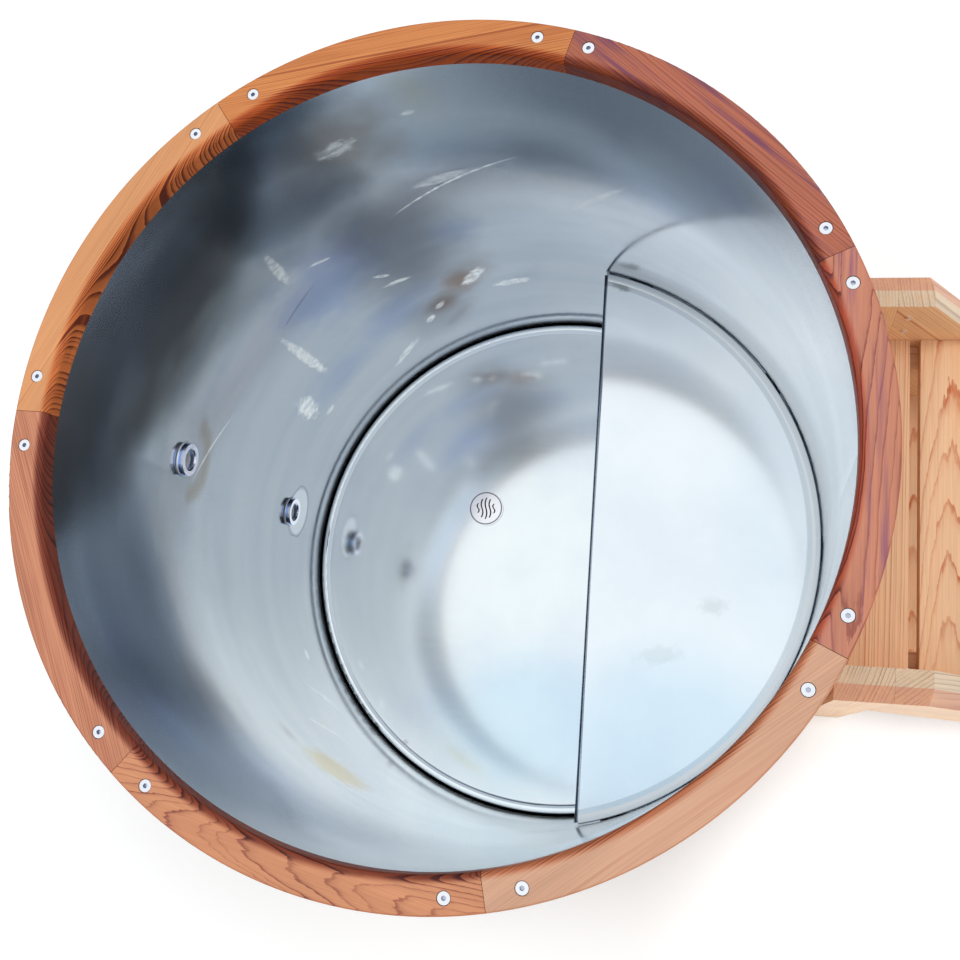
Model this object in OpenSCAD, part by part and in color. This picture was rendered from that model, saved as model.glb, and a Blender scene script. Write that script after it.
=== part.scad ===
// Barrel cold plunge tub: a coopered wooden barrel with a steel liner, a lift-out half-moon seat,
// two wall ports and a floor drain with ball valves, and a wooden step unit beside it.
// Millimetres, +Z up. The origin is on the ground, under the middle of the tub.
// The step stands on the +X side and the pipes leave on the -X side.

/* [Liner] */
// Inner radius of the steel liner
liner_r = 460; // [420:1:560]
// Thickness of the liner sheet
liner_t = 1.5; // [1:0.1:3]
// Width of the flange that the rim clamps
flange_w = 28; // [24:0.5:30]
// Depth of the bath, from the rim's top to the floor
bath_depth = 978; // [820:1:1100]
// Radius of the floor pan's rolled-down edge
roll_r = 10; // [6:0.5:10]
// Height of the swell along that edge
swell_h = 3; // [1:0.5:4]
// Radius of the swell's inner slope
swell_r = 20; // [14:1:24]
// Thickness of the foam behind the wall
wall_foam_t = 4; // [3:0.5:20]
// Thickness of the foam under the floor
floor_foam_t = 10.5; // [10:0.5:30]

/* [Barrel] */
// Number of staves
stave_count = 36; // [30:1:44]
// Thickness of a stave
stave_t = 26; // [24:0.5:36]
// Gap between neighbouring staves
stave_gap = 0.3; // [0.2:0.1:1]
// Size of the chamfers along a stave's outer edges
stave_chamfer = 2.5; // [1:0.5:5]
// Clear height under the staves
stave_foot = 18; // [10:1:25]
// Depth of the groove that holds the deck
croze_d = 6; // [4:0.5:9]
// Height of a joist
joist_h = 70; // [66:1:110]
// Width of a joist
joist_w = 55; // [40:1:60]
// Distance from the middle joist to the outer ones
joist_pitch = 300; // [290:1:330]
// Thickness of the deck boards
deck_t = 28; // [20:1:36]
// Number of deck boards
deck_count = 7; // [7:2:7]
// Gap between deck boards
deck_gap = 2; // [1:0.5:3]

/* [Hoops] */
// Height of a hoop's band
hoop_w = 30; // [22:1:40]
// Thickness of a hoop's band
hoop_t = 1.5; // [1:0.1:2]
// Height of the lower hoop's middle
hoop_low = 105; // [95:1:180]
// Height of the middle hoop's middle
hoop_mid = 545; // [480:1:600]
// Distance from the rim's underside to the upper hoop's middle
hoop_drop = 60; // [40:1:110]
// Angle at which the hoops are drawn together
lug_angle = 118; // [100:1:130]
// How far the lugs stand out from the band
lug_reach = 24; // [20:1:30]
// Gap between the lugs of one hoop
lug_gap = 22; // [16:1:26]
// Thickness of a lug
lug_t = 3; // [2:0.5:5]
// Radius of a draw bolt
draw_r = 4; // [3:0.5:4.5]

/* [Rim] */
// Thickness of the rim boards
rim_t = 28; // [22:1:40]
// How far the rim reaches past the staves
rim_overhang = 6; // [3:0.5:14]
// How far the rim covers the liner
rim_lip = 1; // [0.5:0.5:2]
// Radius on the rim's inner top edge
rim_inner_round = 9; // [3:0.5:11]
// Radius on the rim's outer top edge
rim_outer_round = 3; // [1:0.5:6]
// Angles of the joints between the rim boards
rim_joint_angles = [25.3, 73.5, 125.5, 177.8, 230.5, 282.5, 334.5];
// Gap at a joint
rim_gap = 0.6; // [0.3:0.1:1.5]
// Distance from each joint back to the bolt before it
bolts_before = [36, 22, 42, 43, 43, 41, 45];
// Distance from each joint on to the bolt after it
bolts_after = [31, 40, 42, 41, 39, 40, 38];
// How far the bolts stand outside the middle of the rim
bolt_out = 2.5; // [0:0.5:4]
// Radius of a rim bolt's head
bolt_head_r = 6.8; // [6:0.1:7.4]
// Thickness of a rim bolt's head
bolt_head_t = 5; // [4:0.5:6]
// Width across the flats of its hexagon socket
bolt_socket = 5; // [4:0.5:6]
// Depth of that socket
socket_deep = 3.2; // [2.5:0.1:3.4]
// Radius of its shank
bolt_shank_r = 3; // [2.5:0.1:3.4]
// Length under its head
bolt_l = 70; // [50:1:90]
// Radius of the counterbore
counterbore_r = 7.6; // [7.5:0.1:9]
// How deep the head lies below the rim's top
bolt_sink = 1; // [0.5:0.5:4]

/* [Seat] */
// Height of the seat's top above the floor
seat_h = 299; // [260:1:330]
// Distance from the tub's axis to the seat's front edge
seat_front = 100; // [60:1:160]
// Gap between the seat's curved edge and the liner
seat_gap = 4; // [2.5:0.5:5]
// Thickness of the seat's sheet
seat_t = 3; // [2:0.5:4]
// Outer radius of the fold at the front
seat_fold = 8; // [5:0.5:14]
// Depth of the folded front
seat_lip = 45; // [30:1:70]
// Outer radius of the fold along the curved edge
seat_round = 5; // [4:0.5:8]
// Depth of the folded curved edge
seat_skirt = 22; // [14:1:26]
// Angles of the wall brackets
bracket_angles = [-70, -35, 0, 35, 70];
// Width of a bracket
bracket_w = 40; // [30:1:46]
// How far a bracket reaches from the wall
bracket_reach = 46; // [36:1:56]
// Height of a bracket
bracket_h = 60; // [50:1:90]
// Thickness of the bracket plates
bracket_t = 3; // [2:0.5:4]
// Thickness of the rubber pads on the brackets
pad_t = 2; // [1:0.5:3]
// Distance from the middle to each stiffening channel
stiffener_y = 235; // [210:1:245]
// Width of a stiffening channel
stiffener_w = 30; // [20:1:36]
// Height of a stiffening channel
stiffener_h = 18; // [12:1:24]

/* [Ports] */
// Angle of the ports around the tub
port_angle = 174.8; // [170:0.1:178]
// Height of the lower port above the floor
port_low = 186; // [150:1:230]
// Height of the upper port above the floor
port_high = 616; // [580:1:680]
// Outer radius of a port socket
socket_r = 23.75; // [22:0.25:26]
// Radius of the bore at a port socket's mouth
socket_bore = 14.5; // [13.5:0.1:15.5]
// Depth of that bore, past the chamfer at its mouth
socket_bore_l = 15; // [10:1:18]
// How far a socket stands into the bath
socket_in = 10; // [8:0.5:20]
// How far a socket stands out past the stave
socket_out = 33; // [30:0.5:44]
// Size of the weld bead round a socket
bead = 2.5; // [2:0.5:5]
// Thickness of a port gasket
port_gasket_t = 3; // [2:0.5:4]
// Thickness of the locknuts
locknut_t = 10; // [8:0.5:12]

/* [Drain] */
// Place of the drain along X
drain_x = -139; // [-160:1:-120]
// Place of the drain along Y
drain_y = 92; // [85:1:110]
// Radius of the strainer
strainer_r = 30; // [27:0.5:34]
// Thickness of the strainer
strainer_t = 1.5; // [1:0.1:2.5]
// Number of wavy slots
slot_count = 5; // [3:1:6]
// Width of a slot
slot_w = 2.6; // [1.5:0.1:3]
// Distance from slot to slot
slot_pitch = 7.6; // [6:0.1:8]
// How far a slot swings to each side
slot_swing = 2.2; // [0.5:0.1:2.5]
// Width of the ring that shows round the strainer
drain_ring_w = 3; // [2:0.5:5]
// Outer radius of the drain's threaded tail
drain_tail_r = 25; // [24:0.5:26]
// Height of the drain pipe's middle above the ground
pipe_z = 36; // [34:1:38]
// Outer radius of the drain pipe
pipe_r = 17.5; // [17:0.1:18.5]
// How far the drain pipe stands out past the stave
pipe_out = 24; // [18:1:40]

/* [Valves] */
// Length of a valve from face to face
valve_l = 62; // [58:1:80]
// Radius of a valve's body
valve_r = 22; // [21:0.5:24]
// Width across the flats of its hexagon ends
valve_hex = 44; // [40:1:46]
// Length of a hexagon end
valve_hex_l = 12; // [8:0.5:14]
// Radius of the way through the ball
valve_bore = 11; // [8:0.5:12]
// Radius of the ball
ball_r = 16.5; // [15.5:0.1:17]
// Radius of the stem
stem_r = 5; // [4:0.5:6]
// Height of the stem's top above the pipe's middle
stem_top = 43; // [40:0.5:50]
// Length of a lever from the stem
lever_l = 105; // [80:1:115]
// Width of a lever
lever_w = 16; // [12:1:22]
// Thickness of a lever
lever_t = 3; // [2:0.5:4]
// Length of the grip on a lever
grip_l = 62; // [45:1:66]
// Wall of the grip
grip_wall = 3; // [2:0.5:4]
// Outer radius of a hose tail
tail_r = 12.7; // [12:0.1:13.3]
// Length of a hose tail past its hexagon
tail_l = 38; // [30:1:50]

/* [Step] */
// Clear width between the side frames
step_w = 420; // [360:1:460]
// Thickness of the side frames
side_t = 39; // [30:1:46]
// Height of the side frames
step_h = 908; // [860:1:960]
// Width of a rear post
post_w = 65; // [50:1:80]
// Length of the side frame's flat top
flat_l = 106; // [85:1:140]
// Slope of the stringers in degrees
slope = 60; // [56:1:64]
// Width of a stringer, square to its slope
stringer_w = 200; // [170:1:220]
// Length of the cut-off toe at the foot
toe_cut = 62; // [40:1:90]
// Width of the bevel on the outer top edge
bevel_w = 19; // [10:1:24]
// Drop of that bevel
bevel_h = 8; // [4:0.5:12]
// Drop from the side frames' top to the top tread
tread_drop = 124; // [110:1:150]
// Number of treads
tread_count = 3; // [3:1:3]
// Width of a tread board
board_w = 66; // [60:1:68]
// Thickness of a tread board
board_t = 28; // [20:1:34]
// Gap between tread boards
board_gap = 13; // [6:1:16]
// How far a tread's front lies behind the stringer's edge
tread_back = 6; // [0:1:14]
// Number of boards in a lower tread
boards_per_tread = 3; // [2:1:3]
// Gap between the rear board's hollow edge and the hoops
scribe_gap = 17; // [1:1:20]
// Radius on the rear board's tips
tip_r = 13; // [4:1:20]
// Side of the square cleats under the treads
cleat = 30; // [24:1:36]
// Height of the lower rail's middle
rail_z = 150; // [120:1:200]
// Height of the lower rail
rail_h = 60; // [40:1:80]
// Thickness of the lower rail
rail_t = 16; // [12:1:20]

/* [Hidden] */
$fn = 96;
fit = 0.3;          // clearance between pieces that are fitted together
weld = 0.2;         // gap that a weld closes
play = 0.1;         // room round a bolt, a screw or a ring in its pocket
thread = 0.05;      // room between two threads
hair = 0.01;        // overlap that joins two shapes of one piece
eps = 1;            // how far a cut runs past the face it opens
cut_past = 9;       // how far a cut runs past a curved wall
fine = 180;         // segments of the largest rounds

// Radii, from the liner outwards
liner_out = liner_r + liner_t;
foam_in = liner_out + fit;
foam_out = foam_in + wall_foam_t;
stave_in = foam_out + fit;                     // to the middle of a stave's flat inner face
stave_face = stave_in + stave_t;               // to the middle of its flat outer face
stave_step = 360 / stave_count;
stave_r = stave_face / cos(stave_step / 2);    // over the corners
hoop_in = stave_r + fit;
hoop_out = hoop_in + hoop_t;
rim_in = liner_r - rim_lip;
rim_out = stave_r + rim_overhang;
bolt_circle = (rim_in + rim_out) / 2 + bolt_out;

// Heights, from the ground upwards
deck_top = joist_h + deck_t;
floor_z = deck_top + floor_foam_t + liner_t;
rim_top = floor_z + bath_depth;
rim_low = rim_top - rim_t;
stave_top = rim_low - liner_t;
seat_z = floor_z + seat_h;
port_heights = [floor_z + port_low, floor_z + port_high];

// Base
deck_r = stave_in + croze_d - fit;
deck_pitch = 2 * deck_r / deck_count;
joist_clear = 11;                              // from a joist's end to the staves
joist_r = stave_in - joist_clear;

// Hoops: their middles, and the bolts that draw them together
hoop_heights = [hoop_low, hoop_mid, rim_low - hoop_drop];
draw_x = hoop_in + lug_reach * 0.6;
draw_face = lug_gap / 2 + lug_t + fit;
draw_head = 5;
draw_af = 13;
draw_nut_t = 6.5;
draw_past = 9;                                 // how far a bolt reaches past its lug

// Rim bolts: one on each side of every joint
rim_count = len(rim_joint_angles);
function bolt_before(i) = rim_joint_angles[i] - asin(bolts_before[i] / bolt_circle);
function bolt_after(i) = rim_joint_angles[i] + asin(bolts_after[i] / bolt_circle);
bolt_angles = [for (i = [0 : rim_count - 1], a = [bolt_before(i), bolt_after(i)]) a];
bolt_seat_z = rim_top - bolt_sink - bolt_head_t;

// Seat
seat_r = liner_r - seat_gap;
bracket_top = seat_z - seat_skirt - fit - pad_t;
bracket_sweep = 2 * asin(bracket_w / 2 / liner_r);

// Ports, measured outwards from the tub's axis
socket_end = stave_face + socket_out;
socket_mouth = liner_r - socket_in;
gasket_r = socket_r + 9;
locknut_wall = 7;                              // from a thread to the flats of its locknut

// Drain
drain_angle = atan2(drain_y, drain_x);
drain_stave_turn = round((drain_angle - port_angle) / stave_step) * stave_step;
drain_stave_angle = port_angle + drain_stave_turn;
drain_exit = (stave_in + stave_t / 2) * [cos(drain_stave_angle), sin(drain_stave_angle)];
drain_heading = atan2(drain_exit[1] - drain_y, drain_exit[0] - drain_x);
drain_run = norm([drain_exit[0] - drain_x, drain_exit[1] - drain_y]);
pipe_end = drain_run + stave_t / 2 + pipe_out;
drain_gasket_t = 1;
drain_lip_t = 1;                               // flange under the strainer
ring_r = strainer_r + drain_ring_w;
strainer_z = floor_z + drain_gasket_t + drain_lip_t;
drain_hole_r = drain_tail_r + fit;
drain_wall = 3.2;
drain_bore = drain_tail_r - drain_wall;
drain_tail_z = joist_h - locknut_t - 2;
notch_clear = 1.5;                             // room round the pipe in the drain stave
elbow_r = drain_bore - fit;
elbow_top = joist_h + 22;                      // the elbow screws up into the tail
elbow_l = 48;
elbow_socket = 22;
elbow_wall = 3.5;
elbow_swell = 0.8;                             // its ball is a little larger than its arms
way_swell = 0.5;                               // and the hollow in it than the ways that meet there

// Valves: each is drawn with its inlet face at 0 and its pipe along +X
pipe_wall = 2.7;
nipple_r = pipe_r - pipe_wall - fit;
way_r = valve_bore + 1.5;
nipple_l = 13;
ball_x = valve_l / 2;
cavity_r = ball_r + fit;
cap_x = ball_x + ball_r + 4;
seat_ring_r = valve_bore + 3.2;
seat_ring_t = 4;                               // of a ring behind the circle where it meets the ball
seat_reach = sqrt(pow(ball_r, 2) - pow(seat_ring_r, 2)) + seat_ring_t;
bonnet_r = stem_r + 6;
bonnet_top = stem_top - 14;
lever_z = bonnet_top + fit;
lever_nut_t = 6;
grip_x = lever_l - grip_l;
tail_hex = valve_hex - 8;
tail_x = valve_l + 9;
barb_pitch = 6;
barb_count = 3;

// Step
side_in = step_w / 2;
side_out = side_in + side_t;
step_x0 = sqrt(pow(hoop_out + fit, 2) - pow(side_in, 2));    // the posts stand against the hoops
post_x1 = step_x0 + post_w;
bend_x = step_x0 + flat_l;
run = 1 / tan(slope);
toe_x = bend_x + step_h * run - toe_cut;
heel_x = bend_x + step_h * run - stringer_w / sin(slope);
under_z = (heel_x - post_x1) / run;
tread_h = step_h - tread_drop;
rise = tread_h / tread_count;
function edge_x(z) = bend_x + (step_h - z) * run;        // stringer's front edge at a height
function under_x(z) = heel_x - z * run;                  // and its rear edge
function tread_z(i) = tread_h - i * rise;
function tread_front(i) = edge_x(tread_z(i)) - tread_back;
board_l = step_w - 2 * fit;
arc_r = hoop_out + scribe_gap;
rear_x1 = tread_front(0) - board_w - board_gap;     // front edge of the rear board
tip_x = sqrt(pow(arc_r, 2) - pow(board_l / 2, 2));    // where its hollow edge meets its ends
function board_front(i, k) = tread_front(i) - k * (board_w + board_gap);    // k counts from the front
cleat_back = 4;                                // cleats end this far behind a tread's edges
cleat_lead = 36;                               // and start this far from the post's rear face
function tread_back_x(i) = board_front(i, boards_per_tread - 1) - board_w;
function cleat_start(i) = max(under_x(tread_z(i) - board_t - cleat), tread_back_x(i)) + cleat_back;
function cleat_screw(x, i) = [x, tread_z(i) - board_t - cleat / 2];
rail_clear = 2;                                // from the hoops to the lower rail

// Screws of the side frames: each is a place along X and a height
screw_r = 2;
screw_head_r = 4;
screw_head_t = 2.5;
screw_bite = 18;
screw_inset = 28;                              // from the ends of a cleat to its screws
first_screw = (step_x0 + cleat_lead + post_x1) / 2;    // midway along the cleat's hold on the post
cleat_screws = concat([cleat_screw(first_screw, 0), cleat_screw(tread_front(0) - screw_inset, 0)],
    [for (i = [1 : tread_count - 1], x = [cleat_start(i), tread_front(i) - 2 * screw_inset])
        cleat_screw(x + screw_inset, i)]);
joint_drops = [40, 90];                        // of the screws beside a top joint
joint_screws = [for (drop = joint_drops) [post_x1 + 16, step_h - drop]];

// A round bar, a tube and a hexagon bar that lie along +X, from x0 to x1
module rod_x(r, x0, x1) {
    translate([x0, 0, 0]) rotate([0, 90, 0]) cylinder(r = r, h = x1 - x0);
}
module hex_x(af, x0, x1) {
    translate([x0, 0, 0]) rotate([0, 90, 0]) cylinder(d = af / cos(30), h = x1 - x0, $fn = 6);
}
module tube_x(r, bore, x0, x1) {
    difference() {
        rod_x(r, x0, x1);
        rod_x(bore, x0 - eps, x1 + eps);
    }
}

// A flat ring from z0 to z1
module ring(r, bore, z0, z1) {
    difference() {
        translate([0, 0, z0]) cylinder(r = r, h = z1 - z0);
        translate([0, 0, z0 - eps]) cylinder(r = bore, h = z1 - z0 + 2 * eps);
    }
}

// Places children with +X pointing out through a port, or along the drain pipe
module at_port(z) {
    rotate([0, 0, port_angle]) translate([0, 0, z]) children();
}
module at_drain_pipe() {
    translate([drain_x, drain_y, pipe_z]) rotate([0, 0, drain_heading]) children();
}
module at_drain() {
    translate([drain_x, drain_y, 0]) children();
}
module at_upper_valve() {
    at_port(port_heights[1]) translate([socket_end, 0, 0]) children();
}
module at_lower_valve() {
    at_port(port_heights[0]) translate([socket_end, 0, 0]) children();
}
module at_drain_valve() {
    at_drain_pipe() translate([pipe_end, 0, 0]) children();
}
module at_each_valve() {
    at_upper_valve() children();
    at_lower_valve() children();
    at_drain_valve() children();
}

// Base
module joists() {
    color("#a8744a") for (y = [-joist_pitch, 0, joist_pitch]) {
        half = sqrt(pow(joist_r, 2) - pow(abs(y) + joist_w / 2, 2));
        translate([-half, y - joist_w / 2, 0]) cube([2 * half, joist_w, joist_h]);
    }
}

module deck_boards() {
    color("#b98255") difference() {
        intersection() {
            translate([0, 0, joist_h]) cylinder(r = deck_r, h = deck_t);
            for (i = [0 : deck_count - 1])
                translate([-deck_r + i * deck_pitch + deck_gap / 2, -deck_r, joist_h])
                    cube([deck_pitch - deck_gap, 2 * deck_r, deck_t]);
        }
        at_drain() translate([0, 0, joist_h - eps]) cylinder(r = drain_hole_r, h = deck_t + 2 * eps);
    }
}

// Barrel. A stave is a wedge with flat faces and chamfered outer edges.
module stave_outline() {
    in_y = stave_in * tan(stave_step / 2) - stave_gap / 2;
    out_y = stave_face * tan(stave_step / 2) - stave_gap / 2;
    side_y = out_y - stave_chamfer * (out_y - in_y) / stave_t;
    polygon([[stave_in, -in_y], [stave_face - stave_chamfer, -side_y], [stave_face, -out_y + stave_chamfer],
        [stave_face, out_y - stave_chamfer], [stave_face - stave_chamfer, side_y], [stave_in, in_y]]);
}

module stave(turn) {
    rotate([0, 0, port_angle + turn])
        translate([0, 0, stave_foot]) linear_extrude(stave_top - stave_foot) stave_outline();
}

module stave_cuts() {
    ring(stave_in + croze_d, stave_in - cut_past, joist_h - fit, deck_top + fit);
    rim_bolt_holes(bolt_shank_r + play);
}

module staves() {
    color("#b07a4c") difference() {
        for (i = [1 : stave_count - 1])
            if (abs(i * stave_step - 360 - drain_stave_turn) > 1) stave(i * stave_step);
        stave_cuts();
    }
}

module port_stave() {
    color("#b9814f") difference() {
        stave(0);
        stave_cuts();
        for (z = port_heights) at_port(z) rod_x(socket_r + fit, stave_in - eps, stave_face + eps);
    }
}

module drain_stave() {
    notch = pipe_r + notch_clear;
    color("#a8714a") difference() {
        stave(drain_stave_turn);
        stave_cuts();
        at_drain_pipe() {
            rod_x(notch, drain_run - 2 * stave_t, drain_run + 2 * stave_t);
            translate([drain_run - 2 * stave_t, -notch, -pipe_z]) cube([4 * stave_t, 2 * notch, pipe_z]);
        }
    }
}

// Hoops: a band with two lugs turned out at its ends, drawn together by a bolt
module hoop(z) {
    swing = 2 * asin((lug_gap / 2 + lug_t) / hoop_out);
    color("silver") difference() {
        rotate([0, 0, lug_angle]) translate([0, 0, z - hoop_w / 2]) {
            rotate([0, 0, swing / 2]) rotate_extrude(angle = 360 - swing, $fn = fine)
                translate([hoop_in, 0]) square([hoop_t, hoop_w]);
            for (s = [0, 1]) mirror([0, s, 0])
                translate([hoop_in, lug_gap / 2, 0]) cube([lug_reach, lug_t + weld, hoop_w]);
        }
        draw_bar(z, draw_r + fit, draw_face + eps);
    }
}

module draw_bar(z, r, half) {
    rotate([0, 0, lug_angle]) translate([draw_x, -half, z]) rotate([-90, 0, 0])
        cylinder(r = r, h = 2 * half);
}

module draw_hex(z, y, t) {
    rotate([0, 0, lug_angle]) translate([draw_x, y, z]) rotate([-90, 0, 0])
        cylinder(d = draw_af / cos(30), h = t, $fn = 6);
}

module hoop_bolts() {
    color("gainsboro") for (z = hoop_heights) {
        draw_bar(z, draw_r, draw_face + draw_past);
        draw_hex(z, -draw_face - draw_head, draw_head);
    }
}

module hoop_nuts() {
    color("gainsboro") difference() {
        for (z = hoop_heights) draw_hex(z, draw_face, draw_nut_t);
        for (z = hoop_heights) draw_bar(z, draw_r + thread, draw_face + draw_past);
    }
}

// Liner
module wall_foam() {
    color("khaki") difference() {
        ring(foam_out, foam_in, deck_top + fit, stave_top - fit);
        for (z = port_heights) at_port(z) rod_x(socket_r + fit, foam_in - cut_past, foam_out + cut_past);
    }
}

module floor_foam() {
    color("khaki") difference() {
        translate([0, 0, deck_top]) cylinder(r = liner_r - roll_r - 2 * liner_t, h = floor_foam_t);
        at_drain() translate([0, 0, deck_top - eps]) cylinder(r = drain_hole_r, h = floor_foam_t + 2 * eps);
    }
}

module liner_wall() {
    color("lightsteelblue") difference() {
        union() {
            ring(liner_out, liner_r, deck_top, rim_low);
            ring(liner_r + flange_w, liner_r, stave_top, rim_low);
        }
        for (z = port_heights) at_port(z) rod_x(socket_r + weld, liner_r - cut_past, liner_out + cut_past);
        rim_bolt_holes(bolt_shank_r + fit);
    }
}

// The floor pan is flat, and its edge swells a little before it rolls down to meet the wall
module liner_floor() {
    edge_r = liner_r - weld - roll_r;              // where the edge is highest
    swell_l = sqrt(pow(swell_r - liner_t, 2) - pow(swell_r - liner_t - swell_h, 2));
    color("lightsteelblue") difference() {
        rotate_extrude($fn = fine) {
            translate([0, floor_z - liner_t]) square([edge_r - swell_l, liner_t]);
            translate([edge_r, floor_z + swell_h]) {
                intersection() {
                    sheet_round(swell_r);
                    translate([-swell_r, -swell_h - liner_t]) square([swell_r, swell_h + liner_t + eps]);
                }
                intersection() {
                    sheet_round(roll_r);
                    translate([0, -roll_r]) square(roll_r + eps);
                }
            }
        }
        at_drain() translate([0, 0, floor_z - liner_t - eps])
            cylinder(r = drain_hole_r, h = liner_t + 2 * eps);
    }
}

// Sheet bent round a circle, with its highest point at the origin
module sheet_round(r) {
    translate([0, -r]) difference() {
        circle(r = r);
        circle(r = r - liner_t);
    }
}

// Rim
module rim_bolt_holes(r) {
    for (a = bolt_angles) rotate([0, 0, a]) translate([bolt_circle, 0, bolt_seat_z - bolt_l - eps])
        cylinder(r = r, h = bolt_l + 2 * eps);
}

module rim_profile() {
    w = rim_out - rim_in;
    translate([rim_in, rim_low]) difference() {
        square([w, rim_t]);
        translate([0, rim_t - rim_inner_round]) difference() {
            translate([-eps, 0]) square([rim_inner_round + eps, rim_inner_round + eps]);
            translate([rim_inner_round, 0]) circle(r = rim_inner_round);
        }
        translate([w - rim_outer_round, rim_t - rim_outer_round]) difference() {
            square(rim_outer_round + eps);
            circle(r = rim_outer_round);
        }
    }
}

module rim_board(i) {
    next = (i + 1) % rim_count;
    start = rim_joint_angles[i];
    sweep = (rim_joint_angles[next] - start + 360) % 360;
    gap = asin(rim_gap / 2 / bolt_circle);
    difference() {
        rotate([0, 0, start + gap]) rotate_extrude(angle = sweep - 2 * gap, $fn = fine) rim_profile();
        for (a = [bolt_after(i), bolt_before(next)]) rotate([0, 0, a]) translate([bolt_circle, 0, 0]) {
            translate([0, 0, bolt_seat_z]) cylinder(r = counterbore_r, h = rim_t);
            translate([0, 0, rim_low - eps]) cylinder(r = bolt_shank_r + fit, h = rim_t);
        }
    }
}

module rim_1() {
    color("#c17d53") rim_board(0);
}
module rim_2() {
    color("#cf8649") rim_board(1);
}
module rim_3() {
    color("#d79a66") rim_board(2);
}
module rim_4() {
    color("#be7a52") rim_board(3);
}
module rim_5() {
    color("#c88a60") rim_board(4);
}
module rim_6() {
    color("#d6a887") rim_board(5);
}
module rim_7() {
    color("#b46650") rim_board(6);
}

module rim_bolts() {
    color("gainsboro") for (a = bolt_angles) rotate([0, 0, a]) translate([bolt_circle, 0, bolt_seat_z]) {
        difference() {
            cylinder(r = bolt_head_r, h = bolt_head_t);
            translate([0, 0, bolt_head_t - socket_deep])
                cylinder(d = bolt_socket / cos(30), h = bolt_head_t, $fn = 6);
        }
        translate([0, 0, -bolt_l]) cylinder(r = bolt_shank_r, h = bolt_l);
    }
}

// Seat: a half-moon sheet, folded down all round, whose curved edge stands on brackets on the wall
module seat_bench() {
    color("lightsteelblue") difference() {
        seat_block(0, seat_lip);
        seat_block(seat_t, seat_lip + eps);
        translate([seat_front + seat_fold, -seat_r, seat_z - seat_lip - eps])
            cube([seat_r, 2 * seat_r, seat_lip - seat_skirt + eps]);
    }
}

// The half-moon as a block, set in from the seat's faces, with the folds' rounds along its top edges
module seat_block(inset, drop) {
    h = drop - inset;
    translate([0, 0, seat_z - drop]) intersection() {
        rotate_extrude($fn = fine) folded_edge(seat_r - inset, h, seat_round - inset);
        translate([seat_r, seat_r, 0]) rotate([90, 0, 0]) linear_extrude(2 * seat_r)
            mirror([1, 0]) folded_edge(seat_r - seat_front - inset, h, seat_fold - inset);
    }
}

module folded_edge(w, h, r) {
    difference() {
        square([w, h]);
        translate([w - r, h - r]) difference() {
            square(r + eps);
            circle(r = r);
        }
    }
}

module seat_channels() {
    clear = 8;    // from the brackets
    end = sqrt(pow(liner_r - bracket_reach - clear, 2) - pow(stiffener_y + stiffener_w / 2, 2));
    start = seat_front + seat_t + eps;
    wall = 2;
    color("gainsboro") for (y = [-stiffener_y, stiffener_y])
        translate([start, y - stiffener_w / 2, seat_z - seat_t - stiffener_h]) difference() {
            cube([end - start, stiffener_w, stiffener_h]);
            translate([-eps, wall, wall])
                cube([end - start + 2 * eps, stiffener_w - 2 * wall, stiffener_h]);
        }
}

module seat_brackets() {
    back = liner_r - weld;
    web = atan(bracket_t / back);
    color("gainsboro") for (a = bracket_angles) rotate([0, 0, a]) {
        rotate([0, 0, -bracket_sweep / 2]) rotate_extrude(angle = bracket_sweep, $fn = fine) {
            translate([back - bracket_reach, bracket_top - bracket_t]) square([bracket_reach, bracket_t]);
            translate([back - bracket_t, bracket_top - bracket_h]) square([bracket_t, bracket_h]);
        }
        rotate([0, 0, -web / 2]) rotate_extrude(angle = web, $fn = fine)
            translate([back - bracket_t, bracket_top - bracket_t])
                polygon([[0, bracket_t - bracket_h], [0, 0], [bracket_t - bracket_reach, 0]]);
    }
}

// The seat's curved edge rests on pads, which keep it from ringing
module seat_pads() {
    reach = liner_r - weld - bracket_reach;
    color("#222222") for (a = bracket_angles) rotate([0, 0, a - bracket_sweep / 2])
        rotate_extrude(angle = bracket_sweep, $fn = fine)
            translate([reach, bracket_top]) square([bracket_reach, pad_t]);
}

// Ports: the socket is welded to the liner and held against the stave by a locknut
module port_sockets() {
    groove = 1.2;
    groove_w = 3;
    groove_x = socket_mouth + 4;
    chamfer = 2;
    bead_x = liner_r - pow(socket_r + bead, 2) / (2 * liner_r) - weld;    // clear of the curved wall
    color("gainsboro") for (z = port_heights) at_port(z) difference() {
        union() {
            rod_x(socket_r, socket_mouth, socket_end);
            translate([bead_x - bead, 0, 0]) rotate([0, 90, 0])
                cylinder(r1 = socket_r, r2 = socket_r + bead, h = bead);
        }
        rod_x(socket_bore, socket_mouth - eps, socket_mouth + chamfer + socket_bore_l);
        rod_x(way_r, socket_mouth, socket_end);
        rod_x(nipple_r + fit, socket_end - nipple_l - fit, socket_end + eps);
        tube_x(socket_r + eps, socket_r - groove, groove_x, groove_x + groove_w);
        translate([socket_mouth - hair, 0, 0]) rotate([0, 90, 0])
            cylinder(r1 = socket_bore + chamfer, r2 = socket_bore, h = chamfer);
    }
}

module port_gaskets() {
    color("#222222") for (z = port_heights) at_port(z)
        tube_x(gasket_r, socket_r + fit, stave_face, stave_face + port_gasket_t);
}

module port_locknuts() {
    color("silver") for (z = port_heights) at_port(z) difference() {
        translate([stave_face + port_gasket_t, 0, 0]) hex_x(2 * (socket_r + locknut_wall), 0, locknut_t);
        rod_x(socket_r + thread, stave_face, socket_end + eps);
    }
}

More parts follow.
